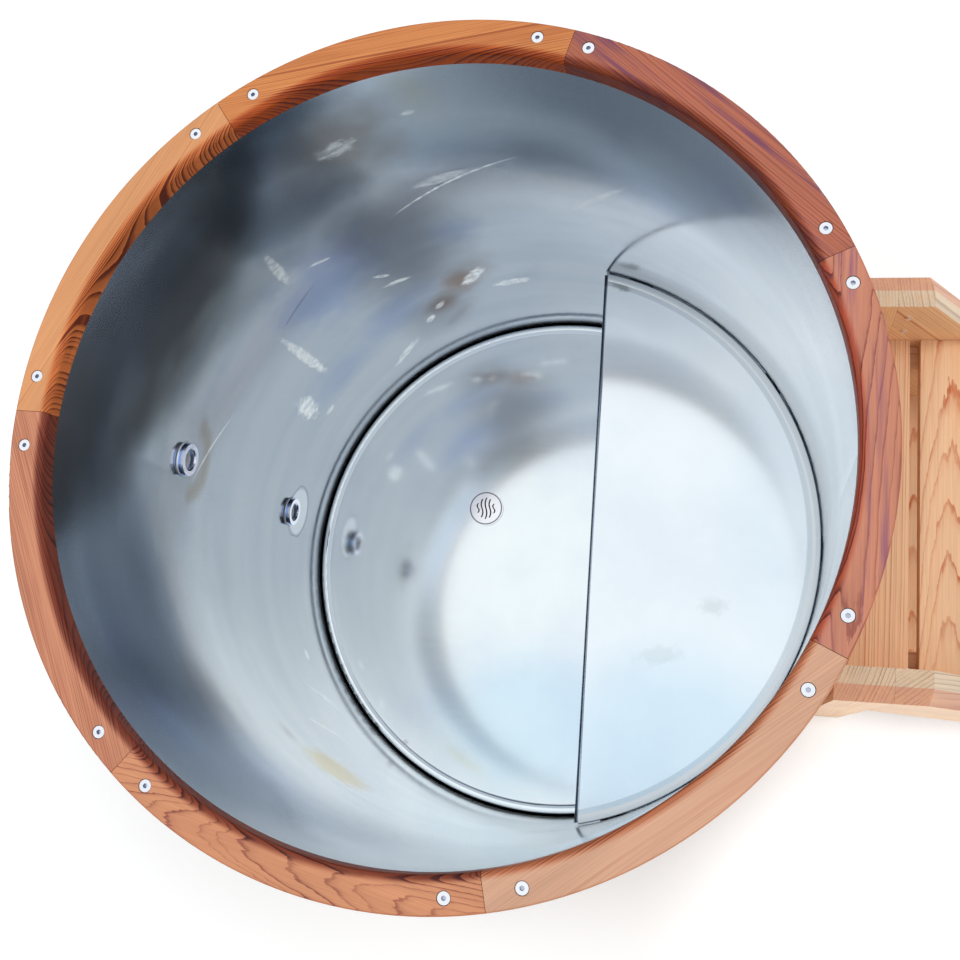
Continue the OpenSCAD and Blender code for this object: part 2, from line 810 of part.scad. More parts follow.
// Drain
module drain_flange() {
    color("silver") at_drain() difference() {
        union() {
            translate([0, 0, floor_z + drain_gasket_t]) cylinder(r = ring_r, h = drain_lip_t + strainer_t);
            translate([0, 0, drain_tail_z]) cylinder(r = drain_tail_r, h = strainer_z - drain_tail_z);
        }
        translate([0, 0, drain_tail_z - eps]) cylinder(r = drain_bore, h = strainer_z);
        translate([0, 0, strainer_z]) cylinder(r = strainer_r + fit, h = strainer_t + eps);
    }
}

module drain_gasket() {
    color("#222222") at_drain() ring(ring_r - fit, drain_hole_r, floor_z, floor_z + drain_gasket_t);
}

module drain_locknut() {
    color("silver") at_drain() difference() {
        translate([0, 0, joist_h - locknut_t])
            cylinder(r = (drain_tail_r + locknut_wall) / cos(30), h = locknut_t, $fn = 6);
        translate([0, 0, joist_h - locknut_t - eps])
            cylinder(r = drain_tail_r + thread, h = locknut_t + 2 * eps);
    }
}

// Each slot follows one wave of a sine along Y
module wavy_slot(x) {
    half = sqrt(pow(drain_bore - eps, 2) - pow(abs(x) + slot_swing + slot_w / 2, 2));
    steps = 16;
    ts = [for (i = [0 : steps]) i / steps];
    left = [for (t = ts) [x - slot_w / 2 + slot_swing * sin(360 * t), half * (2 * t - 1)]];
    right = [for (t = ts) [x + slot_w / 2 - slot_swing * sin(360 * t), half * (1 - 2 * t)]];
    polygon(concat(left, right));
}

module drain_strainer() {
    color("gainsboro") at_drain() translate([0, 0, strainer_z]) linear_extrude(strainer_t) difference() {
        circle(r = strainer_r);
        for (i = [0 : slot_count - 1]) wavy_slot((i - (slot_count - 1) / 2) * slot_pitch);
    }
}

// A cast elbow: two arms that meet in a ball, the upper one screwed into the flange's tail
module drain_elbow() {
    color("dimgray") at_drain_pipe() difference() {
        union() {
            cylinder(r = elbow_r, h = elbow_top - pipe_z);
            sphere(r = elbow_r + elbow_swell);
            rod_x(pipe_r + elbow_wall, 0, elbow_l);
        }
        cylinder(r = way_r, h = elbow_top);
        sphere(r = way_r + way_swell);
        rod_x(way_r, 0, elbow_l);
        rod_x(pipe_r + play, elbow_l - elbow_socket, elbow_l + eps);
    }
}

module drain_pipe() {
    color("dimgray") at_drain_pipe() tube_x(pipe_r, nipple_r + fit, elbow_l - elbow_socket, pipe_end);
}

// Valves
module valve_body() {
    difference() {
        union() {
            rod_x(nipple_r, -nipple_l, hair);
            hex_x(valve_hex, 0, valve_hex_l);
            rod_x(valve_r, valve_hex_l, cap_x);
            translate([ball_x, 0, 0]) cylinder(r = bonnet_r, h = bonnet_top);
        }
        rod_x(valve_bore, -nipple_l - eps, ball_x);
        rod_x(seat_ring_r + play, ball_x - seat_reach, ball_x);
        translate([ball_x, 0, 0]) sphere(r = cavity_r);
        rod_x(cavity_r, ball_x, cap_x + eps);
        translate([ball_x, 0, 0]) cylinder(r = stem_r + play, h = bonnet_top + eps);
    }
}

module valve_bodies() {
    color("silver") at_each_valve() valve_body();
}

module valve_caps() {
    plug = cavity_r - play;
    plug_x = ball_x + seat_reach;
    color("silver") at_each_valve() difference() {
        union() {
            rod_x(plug, plug_x, cap_x);
            hex_x(valve_hex, cap_x, valve_l);
        }
        rod_x(valve_bore, plug_x - eps, valve_l - nipple_l);
        rod_x(nipple_r + play, valve_l - nipple_l - eps, valve_l + eps);
    }
}

// A ring on each side of the ball, hollowed to its curve
module valve_seats() {
    inner = valve_bore + 0.5;
    sunk = 4;    // the rings start this far from the ball's middle
    color("white") at_each_valve() difference() {
        for (x0 = [ball_x - seat_reach, ball_x + sunk])
            tube_x(seat_ring_r, inner, x0, x0 + seat_reach - sunk);
        translate([ball_x, 0, 0]) sphere(r = ball_r + play);
    }
}

module valve_ball() {
    difference() {
        union() {
            translate([ball_x, 0, 0]) sphere(r = ball_r);
            translate([ball_x, 0, 0]) cylinder(r = stem_r, h = stem_top);
        }
        rod_x(valve_bore, ball_x - 2 * ball_r, ball_x + 2 * ball_r);
    }
}

module lever_shape() {
    circle(r = bonnet_r);
    translate([0, -lever_w / 2]) square([lever_l - lever_w / 2, lever_w]);
    translate([lever_l - lever_w / 2, 0]) circle(d = lever_w);
}

module valve_lever() {
    translate([ball_x, 0, lever_z]) difference() {
        linear_extrude(lever_t) lever_shape();
        translate([0, 0, -eps]) cylinder(r = stem_r + thread, h = lever_t + 2 * eps);
    }
}

// A soft sleeve over the lever's end
module valve_grip() {
    half = lever_w / 2 + grip_wall;
    color("#2f5f9e") translate([ball_x, 0, lever_z - grip_wall]) difference() {
        linear_extrude(lever_t + 2 * grip_wall) {
            translate([grip_x, -half]) square([grip_l - lever_w / 2, 2 * half]);
            translate([lever_l - lever_w / 2, 0]) circle(r = half);
        }
        translate([0, 0, grip_wall - thread]) linear_extrude(lever_t + 2 * thread) {
            translate([0, -lever_w / 2 - thread]) square([lever_l - lever_w / 2, lever_w + 2 * thread]);
            translate([lever_l - lever_w / 2, 0]) circle(d = lever_w + 2 * thread);
        }
    }
}

module lever_nut() {
    color("gainsboro") translate([ball_x, 0, lever_z + lever_t]) difference() {
        cylinder(r = (stem_r + 3) / cos(30), h = lever_nut_t, $fn = 6);
        translate([0, 0, -eps]) cylinder(r = stem_r + thread, h = lever_nut_t + 2 * eps);
    }
}

module upper_ball() {
    color("silver") at_upper_valve() valve_ball();
}
module lower_ball() {
    color("silver") at_lower_valve() valve_ball();
}
module drain_ball() {
    color("silver") at_drain_valve() valve_ball();
}
module upper_lever() {
    color("silver") at_upper_valve() valve_lever();
}
module lower_lever() {
    color("silver") at_lower_valve() valve_lever();
}
module drain_lever() {
    color("silver") at_drain_valve() valve_lever();
}
module upper_grip() {
    at_upper_valve() valve_grip();
}
module lower_grip() {
    at_lower_valve() valve_grip();
}
module drain_grip() {
    at_drain_valve() valve_grip();
}
module upper_nut() {
    at_upper_valve() lever_nut();
}
module lower_nut() {
    at_lower_valve() lever_nut();
}
module drain_nut() {
    at_drain_valve() lever_nut();
}

// A hose tail screws into the cap; grooves bite the hose
module hose_tails() {
    groove = 0.8;
    groove_w = 1.5;
    color("silver") at_each_valve() difference() {
        union() {
            rod_x(nipple_r, valve_l - nipple_l + eps, valve_l + hair);
            hex_x(tail_hex, valve_l, tail_x);
            rod_x(tail_r, tail_x - hair, tail_x + tail_l);
        }
        rod_x(valve_bore - 2, valve_l - nipple_l, tail_x + tail_l + eps);
        for (i = [1 : barb_count]) translate([tail_x + i * barb_pitch, 0, 0])
            tube_x(tail_r + eps, tail_r - groove, -groove_w, 0);
    }
}

// Step unit: each side frame is a post and a raking stringer with a bevelled outer top edge
module both_sides() {
    children();
    mirror([0, 1, 0]) children();
}

module side_solid(points) {
    translate([0, side_out, 0]) rotate([90, 0, 0]) linear_extrude(side_t) polygon(points);
}

module edge_bevel(x, z, turn, l, w) {
    translate([x, side_out, z]) rotate([0, turn, 0]) rotate([90, 0, 90])
        linear_extrude(l) polygon([[eps, -bevel_h], [0, -bevel_h], [-w, 0], [-w, eps], [eps, eps]]);
}

module side_screw(p, face, l, room) {
    translate([p[0], face, p[1]]) rotate([-90, 0, 0]) {
        translate([0, 0, -screw_head_t]) cylinder(r = screw_head_r, h = screw_head_t);
        translate([0, 0, -hair]) cylinder(r = screw_r + room, h = l + hair);
    }
}

module side_screw_holes() {
    for (p = cleat_screws) side_screw(p, side_in - cleat, cleat + screw_bite + play, play);
    for (p = joint_screws) side_screw(p, side_in, screw_bite + play, play);
}

module step_posts() {
    color("#d9a066") both_sides() difference() {
        side_solid([[step_x0, 0], [post_x1 - weld, 0], [post_x1 - weld, step_h], [step_x0, step_h]]);
        edge_bevel(step_x0 - eps, step_h, 0, post_w + 2 * eps, bevel_w);
        side_screw_holes();
    }
}

// The raking bevel is a hair's width wider, so that the two bevels meet in one clean edge
module step_stringers() {
    slant_l = step_h / sin(slope);
    color("#dca56c") both_sides() difference() {
        side_solid([[post_x1, under_z], [heel_x, 0], [toe_x, 0], [toe_x, toe_cut / run], [bend_x, step_h],
            [post_x1, step_h]]);
        edge_bevel(post_x1 - eps, step_h, 0, bend_x - post_x1 + bevel_h, bevel_w);
        edge_bevel(bend_x - bevel_h * run, step_h + bevel_h, slope, slant_l + bevel_h, bevel_w + weld);
        side_screw_holes();
    }
}

module tread_board(x1, z) {
    translate([x1 - board_w, -board_l / 2, z - board_t]) cube([board_w, board_l, board_t]);
}

module step_treads() {
    color("#e0ab70") {
        tread_board(tread_front(0), tread_z(0));
        for (i = [1 : tread_count - 1], k = [0 : boards_per_tread - 1])
            tread_board(board_front(i, k), tread_z(i));
    }
}

// The rear board is hollowed to go round the barrel, and its tips are rounded
module step_rear_board() {
    color("#e0ab70") translate([0, 0, tread_h - board_t]) linear_extrude(board_t) difference() {
        translate([tip_x, -board_l / 2]) square([rear_x1 - tip_x, board_l]);
        circle(r = arc_r, $fn = fine);
        for (s = [0, 1]) mirror([0, s]) translate([tip_x, board_l / 2 - tip_r]) difference() {
            translate([-eps, 0]) square([tip_r + eps, tip_r + eps]);
            translate([tip_r, 0]) circle(r = tip_r);
        }
    }
}

module cleat_bar(x0, x1, z) {
    translate([x0, side_in - cleat, z - board_t - cleat]) cube([x1 - x0, cleat - weld, cleat]);
}

module step_cleats() {
    color("#c98f5c") both_sides() difference() {
        union() {
            cleat_bar(step_x0 + cleat_lead, tread_front(0) - cleat_back, tread_z(0));
            for (i = [1 : tread_count - 1])
                cleat_bar(cleat_start(i), tread_front(i) - cleat_back, tread_z(i));
        }
        side_screw_holes();
    }
}

module step_rail() {
    color("#c98f5c") translate([hoop_out + rail_clear, -board_l / 2, rail_z - rail_h / 2])
        cube([rail_t, board_l, rail_h]);
}

// Screws through the cleats into the side frames, and two beside each top joint
module step_screws() {
    color("gray") both_sides() {
        for (p = cleat_screws) side_screw(p, side_in - cleat, cleat + screw_bite, 0);
        for (p = joint_screws) side_screw(p, side_in, screw_bite, 0);
    }
}

joists();
deck_boards();
staves();
port_stave();
drain_stave();
hoop(hoop_heights[0]);  // hoop_lower
hoop(hoop_heights[1]);  // hoop_middle
hoop(hoop_heights[2]);  // hoop_upper
hoop_bolts();
hoop_nuts();
wall_foam();
floor_foam();
liner_wall();
liner_floor();
rim_1();
rim_2();
rim_3();
rim_4();
rim_5();
rim_6();
rim_7();
rim_bolts();
seat_brackets();
seat_pads();
seat_bench();
seat_channels();
port_sockets();
port_gaskets();
port_locknuts();
drain_flange();
drain_gasket();
drain_locknut();
drain_strainer();
drain_elbow();
drain_pipe();
valve_bodies();
valve_caps();
valve_seats();
hose_tails();
upper_ball();
upper_lever();
upper_grip();
upper_nut();
lower_ball();
lower_lever();
lower_grip();
lower_nut();
drain_ball();
drain_lever();
drain_grip();
drain_nut();
step_posts();
step_stringers();
step_treads();
step_rear_board();
step_cleats();
step_rail();
step_screws();
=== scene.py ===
import math
import bmesh
import bpy
from mathutils import Matrix, Vector


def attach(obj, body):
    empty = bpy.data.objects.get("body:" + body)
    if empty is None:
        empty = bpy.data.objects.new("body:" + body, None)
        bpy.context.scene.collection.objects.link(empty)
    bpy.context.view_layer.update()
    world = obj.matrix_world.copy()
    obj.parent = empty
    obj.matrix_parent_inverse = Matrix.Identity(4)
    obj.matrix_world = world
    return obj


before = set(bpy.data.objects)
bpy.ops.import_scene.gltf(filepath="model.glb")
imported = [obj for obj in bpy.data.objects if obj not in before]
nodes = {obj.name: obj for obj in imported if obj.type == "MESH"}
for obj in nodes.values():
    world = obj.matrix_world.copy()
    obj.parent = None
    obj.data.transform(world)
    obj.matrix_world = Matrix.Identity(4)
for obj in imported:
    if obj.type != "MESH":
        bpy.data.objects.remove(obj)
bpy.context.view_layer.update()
print("frame loaded:", len(nodes), "nodes")


# Short ways to add nodes to a tree
def feed(tree, socket, value):
    if isinstance(value, bpy.types.NodeSocket):
        tree.links.new(value, socket)
    elif hasattr(value, "__len__") and len(value) == 3 and len(socket.default_value) == 4:
        socket.default_value = (*value, 1)
    else:
        socket.default_value = value


def put(tree, kind, inputs=None, **settings):
    node = tree.nodes.new(kind)
    for name, value in settings.items():
        setattr(node, name, value)
    for name, value in (inputs or {}).items():
        feed(tree, node.inputs[name], value)
    return node


def calc(tree, operation, a, b=0.0):
    return put(tree, "ShaderNodeMath", {0: a, 1: b}, operation=operation).outputs[0]


def plus(tree, a, b):
    return calc(tree, "ADD", a, b)


def minus(tree, a, b):
    return calc(tree, "SUBTRACT", a, b)


def times(tree, a, b):
    return calc(tree, "MULTIPLY", a, b)


def larger(tree, a, b):
    return calc(tree, "MAXIMUM", a, b)


def swing(tree, value, amount):    # a value from 0 to 1 made a swing of half the amount either way
    return times(tree, minus(tree, value, 0.5), amount)


def vector(tree, operation, a, b):
    return put(tree, "ShaderNodeVectorMath", {0: a, 1: b}, operation=operation).outputs["Vector"]


def length(tree, value):
    return put(tree, "ShaderNodeVectorMath", {0: value}, operation="LENGTH").outputs["Value"]


def flat(tree, spot):    # the same spot at height 0
    return vector(tree, "MULTIPLY", spot, (1, 1, 0))


def split(tree, value):
    return put(tree, "ShaderNodeSeparateXYZ", {0: value}).outputs


def join(tree, x=0.0, y=0.0, z=0.0):
    return put(tree, "ShaderNodeCombineXYZ", {0: x, 1: y, 2: z}).outputs[0]


def noise(tree, spot, stretch=(1, 1, 1), scale=1.0, detail=2.0, rough=0.5, output="Fac"):
    stretched = vector(tree, "MULTIPLY", spot, stretch)
    inputs = {"Vector": stretched, "Scale": scale, "Detail": detail, "Roughness": rough}
    return put(tree, "ShaderNodeTexNoise", inputs).outputs[output]


def random(tree, value):
    return put(tree, "ShaderNodeTexWhiteNoise", {"W": value}, noise_dimensions="1D").outputs["Value"]


def blend(tree, factor, a, b, how="MIX"):
    node = put(tree, "ShaderNodeMix", data_type="RGBA", blend_type=how)
    feed(tree, node.inputs["Factor"], factor)
    feed(tree, node.inputs[6], a)
    feed(tree, node.inputs[7], b)
    return node.outputs[2]


def tinted(tree, mask, colour, tint):    # the colour multiplied by the tint where the mask is 1
    return blend(tree, mask, colour, blend(tree, 1.0, colour, tint, "MULTIPLY"))


def smooth(tree, value, low, high, start=0.0, end=1.0):    # a soft step from low to high
    inputs = {"Value": value, "From Min": low, "From Max": high, "To Min": start, "To Max": end}
    return put(tree, "ShaderNodeMapRange", inputs, interpolation_type="SMOOTHSTEP").outputs[0]


def between(tree, value, low, high, rise, fall):    # 1 from low to high, with soft ends
    return times(tree, smooth(tree, value, low, low + rise), smooth(tree, value, high + fall, high))


def ridge(tree, value, middle, half):    # 1 at the middle, 0 at half on either side
    away = calc(tree, "ABSOLUTE", minus(tree, value, middle))
    return smooth(tree, away, half, 0.0)


def ramp(tree, value, stops):
    node = put(tree, "ShaderNodeValToRGB", {"Fac": value})
    spots = node.color_ramp.elements
    while len(spots) < len(stops):
        spots.new(0.5)
    for spot, (position, level) in zip(spots, stops):
        spot.position = position
        spot.color = (level, level, level, 1)
    return node.outputs["Color"]


def newGroup(name, inputs, outputs):
    group = bpy.data.node_groups.new(name, "ShaderNodeTree")
    kinds = {1: "NodeSocketFloat", 3: "NodeSocketVector", 4: "NodeSocketColor"}
    for label, value in inputs.items():
        size = len(value) if hasattr(value, "__len__") else 1
        group.interface.new_socket(name=label, in_out="INPUT", socket_type=kinds[size]).default_value = value
    for label, size in outputs.items():
        group.interface.new_socket(name=label, in_out="OUTPUT", socket_type=kinds[size])
    return group, group.nodes.new("NodeGroupInput").outputs, group.nodes.new("NodeGroupOutput").inputs


def addGroup(tree, group, inputs):
    node = put(tree, "ShaderNodeGroup", node_tree=group)
    for label, value in inputs.items():
        feed(tree, node.inputs[label], value)
    return node.outputs


def linear(value):    # from a screen's value, 0 to 255, to light
    return value / 255 / 12.92 if value <= 10 else ((value / 255 + 0.055) / 1.055) ** 2.4


def rgb(red, green, blue):    # a colour as a screen shows it
    return linear(red), linear(green), linear(blue), 1


def newMaterial(name, **constants):    # constants go straight onto the shader's own sockets
    material = bpy.data.materials.new(name)
    material.use_nodes = True
    tree = material.node_tree
    shader = tree.nodes["Principled BSDF"]
    for label, value in constants.items():
        shader.inputs[label.replace("_", " ")].default_value = value
    return material, tree, shader


def bump(tree, shader, height, strength, depth):
    node = put(tree, "ShaderNodeBump", {"Height": height, "Strength": strength, "Distance": depth})
    tree.links.new(node.outputs["Normal"], shader.inputs["Normal"])


def place(tree):
    return put(tree, "ShaderNodeTexCoord").outputs["Object"]


def dress(material, *names):
    for name in names:
        slots = nodes[name].data.materials
        slots.clear()
        slots.append(material)


# Wood: rings round a heart line that runs along X, seen wherever a face cuts them
wood = {
    # every noise's stretch, detail and roughness
    "drift": ((1.6, 7, 7), 2, 0.5), "torn": ((26, 150, 150), 3, 0.6), "faint": ((4, 30, 30), 2, 0.5),
    "fibre": ((10, 520, 520), 3, 0.6), "tone": ((2.2, 16, 16), 3, 0.6), "veins": ((4, 90, 90), 3, 0.65),
    "ring": [(0, 0), (0.55, 0.03), (0.80, 0.30), (0.91, 1), (0.97, 0.9), (1, 0)],    # the dark in one ring
    "unevenEvery": 0.21, "unevenBy": 3.2, "darkLeast": 0.5, "faintLeast": 0.4,
    "faintRange": (0.32, 0.56), "veinRange": (0.47, 0.66), "toneRange": (0.36, 0.60),
    "level": 0.53, "fibreLevel": 0.42, "toneLevel": 0.50,
    "rough": 0.36, "fibreRough": 0.22, "lateHeight": 0.6,
}
woodGroup, wIn, wOut = newGroup(
    "woodGrain",
    {"Vector": (0, 0, 0), "Early": (0.6, 0.3, 0.12, 1), "Late": (0.35, 0.13, 0.04, 1),
     "Streak": (0.4, 0.15, 0.1, 1), "Ring Width": 0.004, "Narrow": 1.0, "Contrast": 0.6, "Wander": 0.012,
     "Taper": 0.01, "Jag": 0.0010, "Streaks": 0.3, "Seed": 0.0},
    {"Color": 4, "Height": 1, "Roughness": 1})
tree = woodGroup
moved = vector(tree, "ADD", wIn["Vector"], join(tree, wIn["Seed"]))


def woodNoise(name, output="Fac"):
    stretch, detail, rough = wood[name]
    return noise(woodGroup, moved, stretch, 1, detail, rough, output)


drift = split(tree, woodNoise("drift", "Color"))
spot = split(tree, wIn["Vector"])
across = plus(tree, spot["Y"], swing(tree, drift[0], wIn["Wander"]))
deep = plus(tree, spot["Z"], swing(tree, drift[1], wIn["Wander"]))
radius = calc(tree, "SQRT", plus(tree, calc(tree, "POWER", across, 2), calc(tree, "POWER", deep, 2)))
radius = plus(tree, radius, times(tree, spot["X"], wIn["Taper"]))
radius = plus(tree, radius, swing(tree, woodNoise("torn"), wIn["Jag"]))
rings = calc(tree, "DIVIDE", radius, wIn["Ring Width"])
inputs = {"W": times(tree, rings, wood["unevenEvery"]), "Scale": 1.0, "Detail": 2.0}
uneven = put(tree, "ShaderNodeTexNoise", inputs, noise_dimensions="1D").outputs["Fac"]
rings = plus(tree, rings, times(tree, uneven, wood["unevenBy"]))
line = ramp(tree, calc(tree, "FRACT", rings), wood["ring"])
line = calc(tree, "POWER", line, wIn["Narrow"])
dark = random(tree, plus(tree, calc(tree, "FLOOR", rings), wIn["Seed"]))
dark = plus(tree, times(tree, dark, 1 - wood["darkLeast"]), wood["darkLeast"])
faint = smooth(tree, woodNoise("faint"), *wood["faintRange"])
faint = plus(tree, times(tree, faint, 1 - wood["faintLeast"]), wood["faintLeast"])
lateWood = times(tree, times(tree, line, dark), faint)
fibre, tone = woodNoise("fibre"), woodNoise("tone")
colour = blend(tree, times(tree, lateWood, wIn["Contrast"]), wIn["Early"], wIn["Late"])
veins = smooth(tree, woodNoise("veins"), *wood["veinRange"])
veins = times(tree, veins, smooth(tree, tone, *wood["toneRange"]))
colour = blend(tree, times(tree, veins, wIn["Streaks"]), colour, wIn["Streak"])
level = plus(tree, times(tree, fibre, wood["fibreLevel"]), times(tree, tone, wood["toneLevel"]))
level = plus(tree, level, wood["level"])
feed(tree, wOut["Color"], blend(tree, 1.0, colour, level, "MULTIPLY"))
feed(tree, wOut["Height"], plus(tree, fibre, times(tree, lateWood, wood["lateHeight"])))
feed(tree, wOut["Roughness"], plus(tree, times(tree, fibre, wood["fibreRough"]), wood["rough"]))


def grainPlace(tree, turn, heart):    # object coordinates with X along the grain and 0 at the heart line
    inputs = {"Vector": place(tree), "Rotation": turn, "Location": (0, -heart[0], -heart[1])}
    return put(tree, "ShaderNodeMapping", inputs, vector_type="POINT").outputs[0]


def finishWood(tree, shader, grain, colour=None, strength=0.35, depth=0.0006):
    feed(tree, shader.inputs["Base Color"], grain["Color"] if colour is None else colour)
    feed(tree, shader.inputs["Roughness"], grain["Roughness"])
    bump(tree, shader, grain["Height"], strength, depth)


# Rim: seven boards, each sawn from its own plank with the grain along its chord.
# The rounded inner edge cuts across the rings, so they show most there.
rim = {
    "joints": (25.3, 73.5, 125.5, 177.8, 230.5, 282.5, 334.5),
    # both edges by radius, and how strongly each is tinted with painted shade; the inner one's rings are
    # darker and wider
    "inner": (0.470, 0.462), "innerShare": 0.95, "edgeContrast": 1.9, "widen": 0.62,
    "deepen": (0.5, 0.5, 0.34, 0.6, 0.5, 0.5, 0.5),
    "outer": (0.497, 0.4995), "outerShare": 0.8, "outerEdgeShade": (0.80, 0.55, 0.38, 1),
    # early wood, late wood, streaks, inner edge's tint (deeper colour and painted shade), heart (across,
    # height), then the numbers named below
    "boards": [
        (rgb(180, 106, 82), rgb(108, 48, 44), rgb(108, 60, 92), (0.70, 0.38, 0.16, 1), (0.38, 1.03),
         0.0034, 0.95, 0.90, 0.030, 0.0014),
        (rgb(213, 137, 80), rgb(138, 56, 24), rgb(168, 86, 48), (0.80, 0.36, 0.14, 1), (0.31, 1.04),
         0.0025, 0.90, 0.50, 0.010, 0.0006),
        (rgb(222, 158, 108), rgb(164, 80, 38), rgb(212, 138, 92), (1.0, 0.56, 0.30, 1), (0.30, 1.06),
         0.0023, 0.45, 0.20, 0.001, 0.0004),
        (rgb(206, 140, 108), rgb(132, 60, 46), rgb(150, 74, 60), (0.38, 0.17, 0.14, 1), (0.33, 1.05),
         0.0027, 0.95, 0.40, 0.010, 0.0005),
        (rgb(212, 146, 108), rgb(134, 66, 56), rgb(176, 106, 86), (0.42, 0.18, 0.14, 1), (0.47, 1.04),
         0.0030, 0.95, 0.25, 0.085, 0.0026),
        (rgb(214, 167, 138), rgb(184, 120, 90), rgb(196, 140, 114), (0.90, 0.50, 0.32, 1), (0.30, 1.05),
         0.0028, 0.45, 0.30, 0.006, 0.0006),
        (rgb(202, 134, 108), rgb(134, 68, 62), rgb(146, 92, 112), (0.92, 0.38, 0.22, 1), (0.455, 1.00),
         0.0032, 0.90, 0.90, 0.022, 0.0016),
    ],
    "numbers": ("Ring Width", "Contrast", "Streaks", "Taper", "Jag"),
}
for number, (early, late, streak, edgeTintAndShade, heart, *numbers) in enumerate(rim["boards"]):
    start = rim["joints"][number]
    sweep = (rim["joints"][(number + 1) % len(rim["joints"])] - start) % 360
    middle = start + sweep / 2
    material, tree, shader = newMaterial(f"cedarRim{number + 1}", Specular_IOR_Level=0.3)
    out = length(tree, flat(tree, place(tree)))
    inner = smooth(tree, out, *rim["inner"])
    outer = smooth(tree, out, *rim["outer"])
    look = dict(zip(rim["numbers"], numbers))
    more = times(tree, inner, rim["edgeContrast"] - look["Contrast"])
    look["Contrast"] = plus(tree, look["Contrast"], more)
    look["Narrow"] = minus(tree, 1.0, times(tree, inner, rim["widen"]))
    deeper = tuple(level * rim["deepen"][number] for level in late[:3]) + (1,)
    grain = addGroup(tree, woodGroup, {
        "Vector": grainPlace(tree, (0, 0, math.radians(90 - middle)), heart), "Early": early,
        "Late": blend(tree, inner, late, deeper), "Streak": streak, "Seed": number * 1.7, **look})
    # painted shade on both rounded edges; the inner tint also deepens the end grain's colour
    colour = tinted(tree, times(tree, inner, rim["innerShare"]), grain["Color"], edgeTintAndShade)
    colour = tinted(tree, times(tree, outer, rim["outerShare"]), colour, rim["outerEdgeShade"])
    finishWood(tree, shader, grain, colour)
    dress(material, f"rim_{number + 1}")
print("rim boards finished")


# Step: light pine. Tread boards are told apart by their place along the slope, so each has its own grain.
step = {
    "early": rgb(236, 195, 154), "late": rgb(188, 90, 38), "streak": rgb(224, 168, 118), "ringWidth": 0.0044,
    # the treads: slope, height of one, where the first board begins and how far the next is
    "run": math.tan(math.radians(30)), "rise": 0.2613, "firstEdge": 1.0802, "pitch": 0.079,
    # how far below a board's top its heart is, and how much that and its place across vary
    "heartDepth": 0.036, "depthSpread": 0.02, "sideSpread": 0.004,
    # the sawn tops of posts and stringers: Y where the bevel begins, and the normals that count as up; the
    # colours below give the sides painted light and the bevel painted shade
    "bevel": (0.2295, 0.2305), "up": (0.2, 0.4), "sideLitEarly": rgb(250, 206, 156),
    "sawnEarly": rgb(222, 196, 166), "sawnLate": rgb(138, 106, 84),
    "bevelEarly": rgb(214, 158, 126), "bevelLate": rgb(170, 96, 74),
}
quarter = math.radians(90)


def pine(name, makePlace, seed, **more):
    material, tree, shader = newMaterial("pine_" + name, Coat_Weight=0.05)
    spot, extra = makePlace(tree)
    look = {
        "Early": step["early"], "Late": step["late"], "Streak": step["streak"],
        "Ring Width": step["ringWidth"], "Contrast": 0.8, "Streaks": 0.3, "Seed": seed, **more, **extra}
    finishWood(tree, shader, addGroup(tree, woodGroup, {"Vector": spot, **look}))
    dress(material, name)


def straight(turn, heart):
    return lambda tree: (grainPlace(tree, turn, heart), {})


def treadPlace(tree):
    at = split(tree, place(tree))
    tread = calc(tree, "ROUND", calc(tree, "DIVIDE", at["Z"], step["rise"]))
    level = times(tree, tread, step["rise"])
    alongSlope = plus(tree, at["X"], times(tree, level, step["run"]))
    board = calc(tree, "DIVIDE", minus(tree, step["firstEdge"], alongSlope), step["pitch"])
    number = plus(tree, calc(tree, "FLOOR", board), times(tree, tread, 5.0))
    one, two = random(tree, number), random(tree, plus(tree, number, 0.5))
    side = swing(tree, calc(tree, "FRACT", board), step["pitch"])
    side = plus(tree, side, swing(tree, one, step["sideSpread"]))
    deep = plus(tree, minus(tree, at["Z"], level), step["heartDepth"])
    deep = plus(tree, deep, times(tree, two, step["depthSpread"]))
    return join(tree, at["Y"], side, deep), {"Seed": times(tree, number, 1.37)}


def litAndShadedColours(tree):    # colours by which way a face looks, as painted light and shade: the sides brightened, the sawn top paler, its bevel darker and redder
    away = calc(tree, "ABSOLUTE", split(tree, place(tree))["Y"])
    bevel = smooth(tree, away, *step["bevel"])
    up = smooth(tree, split(tree, put(tree, "ShaderNodeTexCoord").outputs["Normal"])["Z"], *step["up"])
    colours = {}
    # lit and shaded copies of the wood, picked by face direction: painted light on the sides, painted shade on
    # the bevel
    for part, kind in [("Early", "sideLitEarly"), ("Late", "late")]:
        sawn = blend(tree, bevel, step["sawn" + part], step["bevel" + part])
        colours[part] = blend(tree, up, step[kind], sawn)
    return colours


def leaning(turn, heart):
    return lambda tree: (grainPlace(tree, turn, heart), litAndShadedColours(tree))


pine("step_treads", treadPlace, 3.1, Taper=0.058, Wander=0.016, Contrast=1.15, Jag=0.0030)
pine("step_rear_board", straight((0, 0, quarter), (0.30, 0.60)), 5.3, Contrast=1.0, **{"Ring Width": 0.0034})
pine("step_rail", straight((0, 0, quarter), (0.50, 0.10)), 7.9)
pine("step_cleats", straight((0, 0, 0), (0.10, 0.30)), 9.2)
pine("step_posts", leaning((0, quarter, 0), (0.16, 0.56)), 11.4, Contrast=0.95)
pine("step_stringers", leaning((0, math.radians(-60), 0), (0.16, 0.60)), 13.6, Contrast=0.95)
print("step finished")


